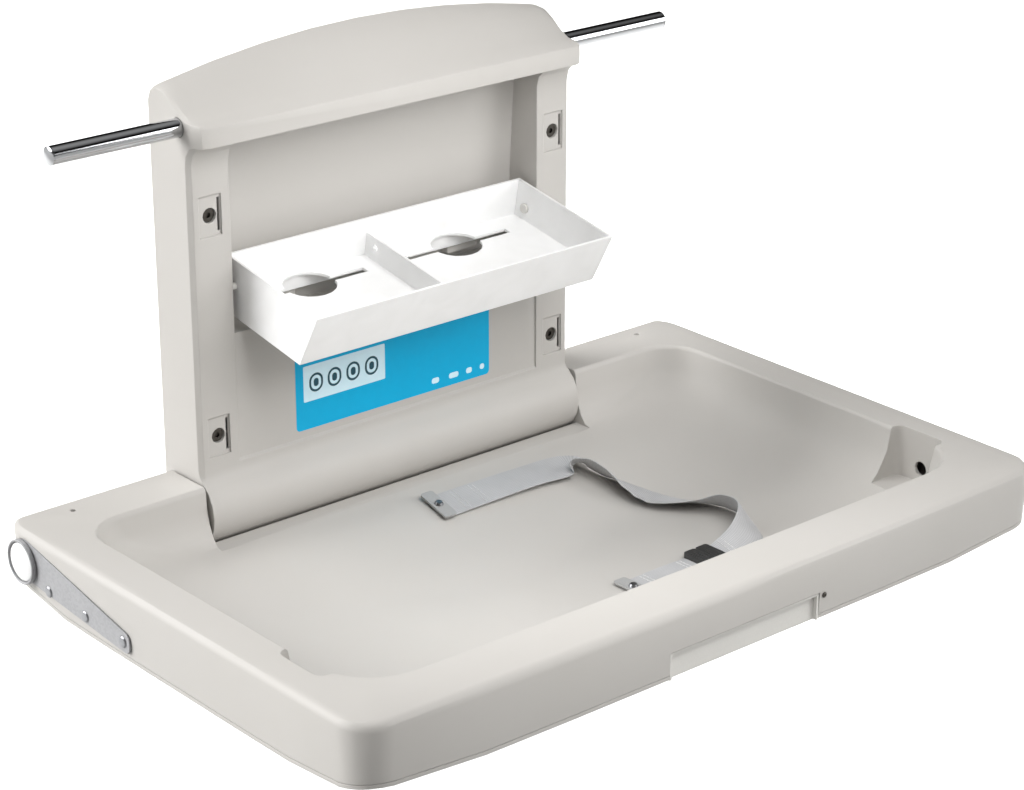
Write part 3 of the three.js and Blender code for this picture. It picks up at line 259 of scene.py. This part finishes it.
plated = zinc_plate("zinc_plated_steel", "#A9AAAC", "#8B8C90")
blackened = zinc_plate("black_zinc_plated_steel", "#6C6862", "#45423E")
print("finishes:", plated.name, blackened.name)

# %% [markdown]
# ## Small plastics
# The buckle and the hinge bushes are black acetal, a slippery plastic with a fine spark texture from its mould. The
# finger grip is grey polypropylene, which is waxy like the bed but greyer, and the belt's end tabs are a darker grey.
# They differ only in colour, gloss and the size of their grain, so one function makes all three.

# %% Finish: acetal and polypropylene
def small_plastic(name, colour, shade, roughness, grain_mm):
    """Plastic with a fine spark texture that breaks up its highlight."""
    material, tree, shader, place = new_finish(name, {"IOR": 1.48})
    spark = add(tree, "ShaderNodeTexNoise", values={"Scale": 1 / (grain_mm * MM), "Detail": 2.0},
                links={"Vector": place})
    tint = add(tree, "ShaderNodeMix", {"data_type": "RGBA"}, {"A": linear(colour), "B": linear(shade)},
               {"Factor": spark.outputs["Fac"]})
    tree.links.new(tint.outputs["Result"], shader.inputs["Base Color"])
    rough = add(tree, "ShaderNodeMapRange", values={"To Min": roughness - 0.06, "To Max": roughness + 0.08},
                links={"Value": spark.outputs["Fac"]})
    tree.links.new(rough.outputs["Result"], shader.inputs["Roughness"])
    rounded = add(tree, "ShaderNodeBevel", {"samples": 4}, {"Radius": 0.6 * MM})
    grained = add(tree, "ShaderNodeBump", values={"Strength": 0.12, "Distance": 0.15 * MM},
                  links={"Height": spark.outputs["Fac"], "Normal": rounded.outputs["Normal"]})
    tree.links.new(grained.outputs["Normal"], shader.inputs["Normal"])
    return material


# The real spark texture is near 0.2 mm, and all three are drawn coarser so that they show
acetal = small_plastic("moulded_acetal_black", "#3B3B3A", "#2E2E2E", 0.42, 1.0)
polypropylene = small_plastic("moulded_polypropylene_grey", "#D6D4CF", "#CFCDC8", 0.48, 1.6)
dark_polypropylene = small_plastic("moulded_polypropylene_dark_grey", "#A5A5A4", "#9B9B9A", 0.5, 1.6)
print("finishes:", acetal.name, polypropylene.name, dark_polypropylene.name)

# %% [markdown]
# ## Finishes on the solids
# A solid from the CAD model arrives as flat triangles. Its mesh is left as it is, and a small node tree on top joins
# the triangles and shades them smooth wherever two meet at less than 30 degrees, as a moulded surface looks. Real
# corners stay sharp, and the finish's own Bevel node softens them.

# %% Smooth shading for the solids
SOLID_CORNER = math.radians(30)
shading = bpy.data.node_groups.new("moulded_shading", "GeometryNodeTree")
shading.interface.new_socket("Geometry", in_out="INPUT", socket_type="NodeSocketGeometry")
shading.interface.new_socket("Geometry", in_out="OUTPUT", socket_type="NodeSocketGeometry")
came = add(shading, "NodeGroupInput")
bare = add(shading, "GeometryNodeRemoveAttribute", values={"Name": "custom_normal"},
           links={"Geometry": came.outputs[0]})
joined = add(shading, "GeometryNodeMergeByDistance", values={"Distance": 0.02 * MM},
             links={"Geometry": bare.outputs[0]})
soft = add(shading, "GeometryNodeSetShadeSmooth", {"domain": "FACE"}, links={0: joined.outputs[0]})
angle = add(shading, "GeometryNodeInputMeshEdgeAngle")
corner = add(shading, "FunctionNodeCompare", {"operation": "GREATER_THAN"}, {"B": SOLID_CORNER},
             {"A": angle.outputs["Unsigned Angle"]})
hard = add(shading, "GeometryNodeSetShadeSmooth", {"domain": "EDGE"}, {"Shade Smooth": False},
           {0: soft.outputs[0], "Selection": corner.outputs["Result"]})
add(shading, "NodeGroupOutput", links={0: hard.outputs[0]})
print("shading nodes:", len(shading.nodes))

# %% Finish of each solid
SLOT_FINISHES = {
    "beige_plastic": moulded_beige,
    "white_plastic": moulded_white,
    "grey_steel": plated,
    "polished_steel": stainless,
    "dark_steel": blackened,
    "black_plastic": acetal,
    "grey_plastic": polypropylene,
    # The belt's solids are hidden under its woven bands, so this one never shows
    "webbing": polypropylene,
}
# Solids whose finish is not the usual one of their slot
OWN_FINISHES = {
    **dict.fromkeys(("hinge_arm_left", "hinge_arm_right", "wall_plate"), coated_grey),
    **dict.fromkeys(("tray_pin_left", "tray_pin_right"), polypropylene),
    **dict.fromkeys(("anchor_screw_rear", "anchor_screw_front"), plated),
    **dict.fromkeys(("belt_anchor_rear", "belt_anchor_front"), dark_polypropylene),
}
for name, solid in nodes.items():
    slot_name = solid.material_slots[0].name.split(".")[0]
    finish = OWN_FINISHES.get(name, SLOT_FINISHES[slot_name])
    for material_slot in solid.material_slots:
        material_slot.material = finish
    smoothing = solid.modifiers.new("moulded_shading", "NODES")
    smoothing.node_group = shading
print("finished solids:", len(nodes), "with a finish of their own:", len(OWN_FINISHES))

# %% [markdown]
# ## A helper for new pieces
# A new piece starts as a list of points and faces. The helper turns it into a mesh, gives it its finishes and makes
# it ride on the CAD body that carries it, so it moves when that body does. Faces are shaded smooth up to 35 degrees.
# A ready-made cube or cylinder could be pushed into shape instead, but points worked out from sizes stay exact.

# %% Helper: a piece from points and faces
PIECE_CORNER = math.radians(35)


def make_piece(name, points, faces, finishes, body, face_finish=None):
    """A mesh object from points and faces, with its finishes, that rides on a CAD body."""
    mesh = bpy.data.meshes.new(name)
    mesh.from_pydata([tuple(p) for p in points], [], faces)
    for finish in finishes:
        mesh.materials.append(finish)
    if face_finish:
        mesh.polygons.foreach_set("material_index", face_finish)
    turned_out = bmesh.new()
    turned_out.from_mesh(mesh)
    bmesh.ops.recalc_face_normals(turned_out, faces=turned_out.faces)
    turned_out.to_mesh(mesh)
    turned_out.free()
    mesh.shade_smooth()
    mesh.set_sharp_from_angle(angle=PIECE_CORNER)
    piece = bpy.data.objects.new(name, mesh)
    bpy.context.scene.collection.objects.link(piece)
    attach(piece, body)
    return piece


def skin(rings, first=0, closed=True):
    """Faces between rings of equal point counts, with both end rings filled in if closed."""
    count = len(rings[0])
    faces = []
    for i in range(len(rings) - 1):
        for j in range(count):
            a, b = first + i * count + j, first + i * count + (j + 1) % count
            faces.append((a, b, b + count, a + count))
    if closed:
        faces.append(tuple(range(first + count - 1, first - 1, -1)))
        last = first + (len(rings) - 1) * count
        faces.append(tuple(range(last, last + count)))
    return faces


print("helpers ready")

# %% [markdown]
# ## Polyester webbing
# A safety belt is woven from polyester yarn: thick cords run along it and thin ones cross them, so it shows fine ribs
# and a soft sheen at grazing light. The pattern is drawn in the belt's own flat coordinates, which the mesh carries
# as UVs in metres, so the ribs follow every bend. The sewing thread is the same yarn, twisted and brighter.

# %% Finish: polyester webbing and thread
def polyester_webbing(name, colour, shade):
    """Matt woven band: ribs along it, cross threads between them, and a little fuzz at grazing light."""
    material, tree, shader, place = new_finish(
        name, {"Roughness": 0.85, "Sheen Weight": 0.35, "Sheen Roughness": 0.4, "IOR": 1.5})
    flat_place = add(tree, "ShaderNodeUVMap", {"uv_map": "flat"}).outputs["UV"]
    # Real cords lie 1.3 mm apart and are drawn at 2.4 mm so that they show. A wave's period is 0.314 over its scale.
    cords = add(tree, "ShaderNodeTexWave", {"bands_direction": "X"}, {"Scale": 0.314 / (2.4 * MM)},
                {"Vector": flat_place})
    picks = add(tree, "ShaderNodeTexWave", {"bands_direction": "Y"}, {"Scale": 0.314 / (1.8 * MM)},
                {"Vector": flat_place})
    woven = add(tree, "ShaderNodeMath", {"operation": "MULTIPLY_ADD"}, {1: 0.6},
                {0: cords.outputs["Fac"], 2: picks.outputs["Fac"]})
    soil = add(tree, "ShaderNodeTexNoise", values={"Scale": 1 / 0.04, "Detail": 3.0}, links={"Vector": place})
    mask = add(tree, "ShaderNodeMath", {"operation": "MULTIPLY"},
               links={0: woven.outputs["Value"], 1: soil.outputs["Fac"]})
    tint = add(tree, "ShaderNodeMix", {"data_type": "RGBA"}, {"A": linear(shade), "B": linear(colour)},
               {"Factor": mask.outputs["Value"]})
    tree.links.new(tint.outputs["Result"], shader.inputs["Base Color"])
    ribbed = add(tree, "ShaderNodeBump", values={"Strength": 0.3, "Distance": 0.4 * MM},
                 links={"Height": woven.outputs["Value"]})
    tree.links.new(ribbed.outputs["Normal"], shader.inputs["Normal"])
    return material


webbing = polyester_webbing("woven_polyester_grey", "#C2C2C3", "#A0A0A1")
thread = polyester_webbing("twisted_polyester_thread", "#E0E0DE", "#C2C2C0")
print("finishes:", webbing.name, thread.name)

# %% [markdown]
# ## The safety belt
# The belt lies loose in the basin: flat near the hinge, turned over on itself, then round in a loop that stands on
# its edge and back to the buckle. It could be simulated, but a thin band laid along listed stops keeps its width and
# is quicker.
# A smooth line goes through stops that follow the CAD solid, each with how far the band leans there, and the floor
# under it is found by looking down at the bed's own solid. The turned-over stretch and the loop are their own meshes.

# %% Where the belt lies
BELT_WIDTH, BELT_THICK = 0.038, 0.0015
bed_mesh = nodes["bed_shell"].data
bed_surface = BVHTree.FromPolygons([v.co for v in bed_mesh.vertices], [p.vertices for p in bed_mesh.polygons])
# Each stop: x and y in mm, lean in degrees and height over the floor in mm
STRAP_STOPS = [
    (-12, -150, 0, 0), (50, -151, -3, 1), (110, -153, -6, 2), (160, -158, -8, 4), (173, -170, -46, 2),
    (184, -190, -50, 0), (196, -212, -30, 0), (208, -234, -16, 0), (219, -254, -16, 0), (238, -290, -30, 0),
    (247, -322, -52, 0), (239, -356, -58, 0), (212, -379, -30, 0), (170, -379, 0, 0)]
TAIL_STOPS = [(150, -379, 0, 0), (108, -379, 0, 1), (52, -379, 0, 0)]
# The strap turns over after the first of these stops, and its loop starts at the second
FOLD_STOP, TWIST_STOP = 3, 8
STEPS = 14
FLOOR_REACH = 10 * MM
ABOVE_BED = 0.2


def floor_under(x, y):
    """Point of the basin's floor under a place, and the direction square to it, evened out over 20 mm."""
    heights = [bed_surface.ray_cast(Vector((x + dx * FLOOR_REACH, y + dy * FLOOR_REACH, ABOVE_BED)),
                                    Vector((0, 0, -1)))[0].z
               for dx, dy in ((0, 0), (1, 0), (-1, 0), (0, 1), (0, -1))]
    square = Vector((heights[2] - heights[1], heights[4] - heights[3], 2 * FLOOR_REACH)).normalized()
    return Vector((x, y, max(heights[0], sum(heights) / len(heights)))), square


def along_stops(stops, t):
    """Smooth line through the stops: x, y, lean and height at a share t of the way."""
    count = len(stops) - 1
    i = min(int(t * count), count - 1)
    u = t * count - i
    a, b, c, d = (Vector(stops[min(max(k, 0), count)]) for k in (i - 1, i, i + 1, i + 2))
    return b + 0.5 * u * ((c - a) + u * (2 * a - 5 * b + 4 * c - d + u * (3 * (b - c) + d - a)))


print("floor under the loop in mm:", round(floor_under(0.24, -0.32)[0].z / MM, 1))

# %% The band's frames
CLEAR_OF_FLOOR = 0.4 * MM


def band_frames(stops):
    """Centre, direction across and direction square to the band, at a number of steps from each stop to the next."""
    spots = []
    steps = (len(stops) - 1) * STEPS
    for k in range(steps + 1):
        x, y, lean, raised = along_stops(stops, k / steps)
        floor_point, square = floor_under(x * MM, y * MM)
        turn = math.radians(lean)
        lift = BELT_WIDTH / 2 * abs(math.sin(turn)) + BELT_THICK / 2 + CLEAR_OF_FLOOR + raised * MM
        spots.append((floor_point + square * lift, square, turn))
    frames = []
    for k, (centre, square, turn) in enumerate(spots):
        ahead = spots[min(k + 1, steps)][0] - spots[max(k - 1, 0)][0]
        level = square.cross(ahead).normalized()
        across = level * math.cos(turn) + square * math.sin(turn)
        out = ahead.cross(across).normalized()
        frames.append((centre, out.cross(ahead).normalized(), out))
    return frames


def band_length(frames):
    """Length along the band's middle."""
    return sum((b[0] - a[0]).length for a, b in zip(frames, frames[1:]))


strap_lay = band_frames(STRAP_STOPS)
tail_lay = band_frames(TAIL_STOPS)
print("frames along the strap and the tail:", len(strap_lay), len(tail_lay))

# %% Stitches
# Stitches 4 mm long in two rows across the band, 5 mm apart
STITCH_SPOTS = [(u * 0.0048, row) for row in (-0.0025, 0.0025) for u in range(-3, 4)]
# Half length and radius of the thread in mm, from end to end
STITCH_PROFILE = ((-2, 0.15), (-1.5, 0.4), (1.5, 0.4), (2, 0.15))
THREAD_SIDES = 6


def add_stitch(points, faces, places, frames, share, u, v):
    """One raised stitch on top of the band, as a small six-sided thread."""
    centre, across, out = frames[round(share * (len(frames) - 1))]
    along = across.cross(out)
    middle = centre + across * u + along * v + out * (BELT_THICK / 2 + 0.1 * MM)
    first = len(points)
    for reach, size in STITCH_PROFILE:
        for j in range(THREAD_SIDES):
            turn = j * 2 * math.pi / THREAD_SIDES
            points.append(middle + across * (reach * MM) + along * (size * MM * math.cos(turn))
                          + out * (size * MM * math.sin(turn)))
            places.append((u, v))
    faces.extend(skin([range(THREAD_SIDES)] * len(STITCH_PROFILE), first))


print("stitches at each sewn place:", len(STITCH_SPOTS))

# %% The band's mesh
COLUMNS = 8
EDGE_THINNING = 0.45


def woven_band(name, node_name, frames, flat_start, sewn=()):
    """A thin woven band along its frames, rounded at its edges, with rows of stitches at the sewn places."""
    rings, places = [], []
    travelled = flat_start
    for k, (centre, across, out) in enumerate(frames):
        travelled += (centre - frames[max(k - 1, 0)][0]).length
        ring = []
        for side in (1, -1):
            for c in range(COLUMNS + 1):
                u = side * (1 - 2 * c / COLUMNS)
                thin = BELT_THICK / 2 * (EDGE_THINNING if c in (0, COLUMNS) else 1)
                ring.append(centre + across * (u * BELT_WIDTH / 2) + out * (side * thin))
                places.append((u * BELT_WIDTH / 2, travelled))
        rings.append(ring)
    points = [p for ring in rings for p in ring]
    faces = skin(rings)
    woven_faces = len(faces)
    for share in sewn:
        for u, v in STITCH_SPOTS:
            add_stitch(points, faces, places, frames, share, u, v)
    face_finish = [0] * woven_faces + [1] * (len(faces) - woven_faces)
    band = make_piece(name, points, faces, [webbing, thread], "bed", face_finish)
    flat_map = band.data.uv_layers.new(name="flat")
    for loop in band.data.loops:
        flat_map.data[loop.index].uv = places[loop.vertex_index]
    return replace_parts(band, node_name)


print("points round the band:", 2 * (COLUMNS + 1))

# %% The belt's four pieces
strap_flat = strap_lay[: FOLD_STOP * STEPS + 1]
strap_turn = strap_lay[FOLD_STOP * STEPS : TWIST_STOP * STEPS + 1]
strap_loop = strap_lay[TWIST_STOP * STEPS :]
flat_length, turn_length, loop_length, tail_length = (
    band_length(lay) for lay in (strap_flat, strap_turn, strap_loop, tail_lay))
belt_flat = woven_band("belt_strap_flat", "belt_strap", strap_flat, 0.0, [0.2, 0.3])
belt_turn = woven_band("belt_strap_turn", "belt_strap", strap_turn, flat_length)
belt_loop = woven_band("belt_strap_loop", "belt_strap", strap_loop, flat_length + turn_length, [0.9])
belt_tail = woven_band("belt_tail_band", "belt_tail", tail_lay, 0.0, [0.25, 0.7])
print("belt lengths in mm:", [round(v / MM) for v in (flat_length, turn_length, loop_length, tail_length)])

# %% The floor under the turned-over stretch and the loop
for band, spot, keep in ((belt_turn, (0.19, -0.205), 0.35), (belt_loop, (0.24, -0.32), 0.22)):
    floor_point, square = floor_under(*spot)
    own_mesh(band)
    print(band.name, "flattens towards z in mm:", round(floor_point.z / MM, 1))

# %% [markdown]
# ## The buckle's grip
# The two buckle halves are plain blocks in the CAD model, which is the right outline. What a thumb feels is added:
# ribs across the tongue, and a press pad on the socket. Each is a low bar with sloped sides, set on its block's top.
# Bump in the finish could hint at them, but they also show at the block's outline, so they are real shapes.

# %% Ribs and press pad
BUCKLE_HALF = 3.5 * MM
BAR_POINTS = 24
# 1 gives an oval outline, and less gives a squarer one
BAR_ROUNDNESS = 0.4


def low_bar(node_name, shift, size):
    """Rings of a bar with sloped sides on a buckle half: its shift, and its length, width and height, all in mm."""
    low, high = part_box(node_name)
    middle = (low + high) / 2
    square = floor_under(middle.x, middle.y)[1]
    across = Vector((1, 0, 0)).cross(square).normalized()
    along = square.cross(across) * -1
    top = middle + square * BUCKLE_HALF + along * (shift * MM)
    long, wide, tall = (value * MM for value in size)
    rings = []
    for rise, shrink in ((-0.3 * MM, 0), (0.4 * tall, 0), (tall, 0.3 * wide)):
        ring = []
        for k in range(BAR_POINTS):
            turn = 2 * math.pi * k / BAR_POINTS
            u = math.copysign(abs(math.cos(turn)) ** BAR_ROUNDNESS, math.cos(turn)) * (long / 2 - shrink)
            v = math.copysign(abs(math.sin(turn)) ** BAR_ROUNDNESS, math.sin(turn)) * (wide / 2 - shrink)
            ring.append(top + across * u + along * v + square * rise)
        rings.append(ring)
    return rings


bars = [low_bar("buckle_tongue", shift, (28, 2.4, 0.7)) for shift in (-4.5, 0, 4.5)]
bars.append(low_bar("buckle_socket", 0, (20, 9, 0.8)))
points, faces = [], []
for rings in bars:
    faces.extend(skin(rings, len(points)))
    points.extend(p for ring in rings for p in ring)
make_piece("buckle_grip", points, faces, [acetal], "bed")
print("bars on the buckle:", len(bars))

# %% [markdown]
# ## The blue sign
# A printed sheet of vinyl is stuck on the lower panel, with a pale field of four plain ringed marks and a row of small
# light marks. The marks could be a pattern in the finish, but thin films with real edges stay sharp at any distance,
# so each is a film on the one below, in layers of 0.05 mm.

# %% Finish: printed vinyl
def printed_vinyl(name, colour, shade):
    """Smooth film with a soft gloss, whose ink lies a little unevenly."""
    material, tree, shader, place = new_finish(name, {"IOR": 1.53, "Specular IOR Level": 0.25})
    ink = add(tree, "ShaderNodeTexNoise", values={"Scale": 1 / (9 * MM), "Detail": 3.0}, links={"Vector": place})
    tint = add(tree, "ShaderNodeMix", {"data_type": "RGBA"}, {"A": linear(colour), "B": linear(shade)},
               {"Factor": ink.outputs["Fac"]})
    tree.links.new(tint.outputs["Result"], shader.inputs["Base Color"])
    rough = add(tree, "ShaderNodeMapRange", values={"To Min": 0.3, "To Max": 0.45},
                links={"Value": ink.outputs["Fac"]})
    tree.links.new(rough.outputs["Result"], shader.inputs["Roughness"])
    # The sheet follows the panel's slight unevenness, about 30 mm from one dip to the next
    dips = add(tree, "ShaderNodeTexNoise", values={"Scale": 1 / (30 * MM), "Detail": 0.0}, links={"Vector": place})
    uneven = add(tree, "ShaderNodeBump", values={"Strength": 0.1, "Distance": 0.5 * MM},
                 links={"Height": dips.outputs["Fac"]})
    tree.links.new(uneven.outputs["Normal"], shader.inputs["Normal"])
    return material


sign_inks = [printed_vinyl("printed_vinyl_blue", "#00ADDC", "#00A6D6"),
             printed_vinyl("printed_vinyl_pale", "#D9F1FA", "#CBE9F5"),
             printed_vinyl("printed_vinyl_dark", "#1F4653", "#2A5462")]
print("sign inks:", [ink.name for ink in sign_inks])

# %% The sign's films
before_panel = Vector((0.1, -0.4, 0.08))
housing_mesh = nodes["back_housing"].data
housing_surface = BVHTree.FromPolygons([v.co for v in housing_mesh.vertices],
                                       [p.vertices for p in housing_mesh.polygons])
PANEL_Y = housing_surface.ray_cast(before_panel, Vector((0, 1, 0)))[0].y
FILM = 0.05 * MM
CORNER_STEPS = 6
BLUE, PALE, DARK = range(len(sign_inks))


def film(middle, size, corner, layer):
    """Rings of a flat film with round corners, so many layers above the panel."""
    (x, z), (wide, high) = middle, size
    outline = []
    for quarter, (side_x, side_z) in enumerate(((1, 1), (-1, 1), (-1, -1), (1, -1))):
        for k in range(CORNER_STEPS + 1):
            turn = math.pi / 2 * (quarter + k / CORNER_STEPS)
            outline.append((x + side_x * (wide / 2 - corner) + corner * math.cos(turn),
                            z + side_z * (high / 2 - corner) + corner * math.sin(turn)))
    front = PANEL_Y - FILM * (layer + 1)
    return [[Vector((px, y, pz)) for px, pz in outline] for y in (front + 0.9 * FILM, front)]


print("panel at y in mm:", round(PANEL_Y / MM, 1))

# %% The sign's sheet and marks
MARK_Z, LOW_MARK_Z = 0.105, 0.0665
films = [(film((0.004, 0.1105), (0.256, 0.109), 4.5 * MM, 2), BLUE),
         (film((-0.0615, 0.1055), (0.105, 0.039), 1.5 * MM, 3), PALE)]
for x in (-0.098, -0.0745, -0.0505, -0.0265):
    films.append((film((x, MARK_Z), (0.0175, 0.0205), 8.7 * MM, 4), DARK))
    films.append((film((x, MARK_Z), (0.0125, 0.0155), 6.2 * MM, 5), PALE))
    films.append((film((x, MARK_Z), (0.0062, 0.0088), 3 * MM, 6), DARK))
for x, wide in ((0.058, 0.010), (0.083, 0.013), (0.104, 0.008), (0.122, 0.006)):
    films.append((film((x, LOW_MARK_Z), (wide, 0.0062), 2.6 * MM, 3), PALE))
points, faces, inks = [], [], []
for rings, ink in films:
    more = skin(rings, len(points))
    points.extend(rings[0] + rings[1])
    faces.extend(more)
    inks.extend([ink] * len(more))
make_piece("panel_sign", points, faces, sign_inks, "back_unit", inks)
print("sign films:", len(films))

# %% [markdown]
# ## Small turned parts
# A collar stands round each pivot cap, and a small screw closes the right end of the finger grip. Both are turned
# shapes: one profile of radius and height, spun round its own line. A Screw modifier could spin it too, but the helper
# for pieces needs plain points.

# %% Collars
def turned(profile, centre, axis, sides=48):
    """Rings of a profile of radius and height in mm, spun round an axis through a centre."""
    upright = Vector((0, 0, 1)) if abs(axis.z) < 0.9 else Vector((0, 1, 0))
    first = axis.cross(upright).normalized()
    second = axis.cross(first)
    rings = []
    for radius, height in profile:
        turns = [2 * math.pi * k / sides for k in range(sides)]
        rings.append([centre + axis * (height * MM) + (first * math.cos(t) + second * math.sin(t)) * (radius * MM)
                      for t in turns])
    return rings


COLLAR = [(20.5, 0.4), (20.5, 4.2), (21.2, 4.8), (22.2, 4.8), (22.8, 4.2), (22.8, 0.4)]
for side, name in ((-1, "left"), (1, "right")):
    cap_low, cap_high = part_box("pivot_cap_" + name)
    outward = Vector((side, 0, 0))
    seat_x = cap_low.x if side > 0 else cap_high.x
    middle = Vector((seat_x, (cap_low.y + cap_high.y) / 2, (cap_low.z + cap_high.z) / 2))
    rings = turned(COLLAR, middle, outward)
    count = len(rings[0])
    ring_faces = skin(rings, closed=False)
    last = (len(rings) - 1) * count
    ring_faces += [(last + j, last + (j + 1) % count, (j + 1) % count, j) for j in range(count)]
    make_piece("pivot_collar_" + name, [p for ring in rings for p in ring], ring_faces, [coated_grey], "bed")
    print("pivot_collar_" + name, "seated at x in mm:", round(seat_x / MM, 1))

# %% Grip screw
before_grip = Vector((0.1155, -0.9, -0.0125))
grip_spot = bed_surface.ray_cast(before_grip, Vector((0, 1, 0)))[0]
SCREW_HEAD = [(0.8, -0.6), (2.9, 0.1), (2.9, 0.7), (2.3, 1.3), (1.4, 1.6), (1.2, 0.9), (0.1, 0.9)]
rings = turned(SCREW_HEAD, grip_spot, Vector((0, -1, 0)), 24)
make_piece("grip_screw", [p for ring in rings for p in ring], skin(rings), [blackened], "bed")
print("grip screw at y in mm:", round(grip_spot.y / MM, 1))

# %% [markdown]
# ## The floor and the light
# The station hangs at its usual height over a pale floor. A wide window-like light comes from the left and from
# behind, a soft panel hangs over the bed's front edge and shines down towards the hinge, and a larger one stands far
# to the right. The corner between the bed's left end and its front faces none of them, so it is darker than the faces
# beside it. Two more lamps light only the floor behind, as a studio does to get a white ground. The room is pale at
# eye level, dark above that and white overhead. The dark part puts the dark streak in the rod, and the front panel is
# hidden from reflections so as not to fill it.

# %% Floor
FLOOR_Z, FLOOR_HALF = -0.85, 90
floor_corners = [(x * FLOOR_HALF, y * FLOOR_HALF, FLOOR_Z) for x, y in ((-1, -1), (1, -1), (1, 1), (-1, 1))]
floor_mesh = bpy.data.meshes.new("floor")
floor_mesh.from_pydata(floor_corners, [], [(0, 1, 2, 3)])
floor = bpy.data.objects.new("floor", floor_mesh)
bpy.context.scene.collection.objects.link(floor)
painted_floor = new_finish("painted_floor_white", {"Roughness": 0.8, "Base Color": linear("#DADAD9")})[0]
floor.data.materials.append(painted_floor)
print("floor below the hinge in mm:", round(-FLOOR_Z / MM))

# %% Lights
def soft_light(name, kind, place, aim, strength, **settings):
    """A lamp of a kind at a place, turned to face the aim."""
    data = bpy.data.lights.new(name, kind)
    data.energy = strength
    for setting, value in settings.items():
        setattr(data, setting, value)
    lamp = bpy.data.objects.new(name, data)
    lamp.location = place
    lamp.rotation_mode = "QUATERNION"
    lamp.rotation_quaternion = (Vector(aim) - Vector(place)).to_track_quat("-Z", "Y")
    bpy.context.scene.collection.objects.link(lamp)
    return lamp


soft_light("window_left", "SUN", (-0.65, 0.6, 0.42), (0, 0, 0), 4.6, angle=math.radians(50))
soft_light("panel_right", "AREA", (1.8, -2.1, 0.9), (0.1, -0.3, 0.05), 32, size=1.4)
panel_front = soft_light("panel_front", "AREA", (-0.08, -0.78, 0.78), (0, -0.1, 0.02), 3.25, size=0.7,
                         spread=math.radians(100))
panel_front.visible_glossy = False
soft_light("ground_back", "AREA", (1.0, 3.3, 2.6), (1.0, 3.31, 0), 150, shape="RECTANGLE", size=6, size_y=5.4,
           spread=math.radians(45))
soft_light("ground_right", "AREA", (3.3, 1.2, 2.6), (3.3, 1.21, 0), 85, shape="RECTANGLE", size=4.6, size_y=4.6,
           spread=math.radians(40))

# %% The room
world = bpy.data.worlds.new("room")
world.use_nodes = True
bpy.context.scene.world = world
room = world.node_tree
direction = add(room, "ShaderNodeTexCoord").outputs["Generated"]
height = add(room, "ShaderNodeSeparateXYZ", links={"Vector": direction})
rise = add(room, "ShaderNodeMapRange", {"interpolation_type": "SMOOTHSTEP"},
           {"From Min": 0.6, "From Max": 1.0}, {"Value": height.outputs["Z"]})
dusk = add(room, "ShaderNodeMapRange", {"interpolation_type": "SMOOTHSTEP"},
           {"From Min": 0.05, "From Max": 0.2}, {"Value": height.outputs["Z"]})
walls = add(room, "ShaderNodeMix", {"data_type": "RGBA"}, {"A": linear("#D8D8D8"), "B": linear("#101010")},
            {"Factor": dusk.outputs["Result"]})
sky = add(room, "ShaderNodeMix", {"data_type": "RGBA"}, {"B": linear("#FFFFFF")},
          {"Factor": rise.outputs["Result"], "A": walls.outputs["Result"]})
room.links.new(sky.outputs["Result"], room.nodes["Background"].inputs["Color"])
room.nodes["Background"].inputs["Strength"].default_value = 0.5
bpy.context.scene.view_settings.view_transform = "Standard"
print("room nodes:", len(room.nodes))

# %% [markdown]
# ## The last step
# The view layer is brought up to date once more, so that every finish and fitting is in place.

# %% Update the view layer
bpy.context.view_layer.update()
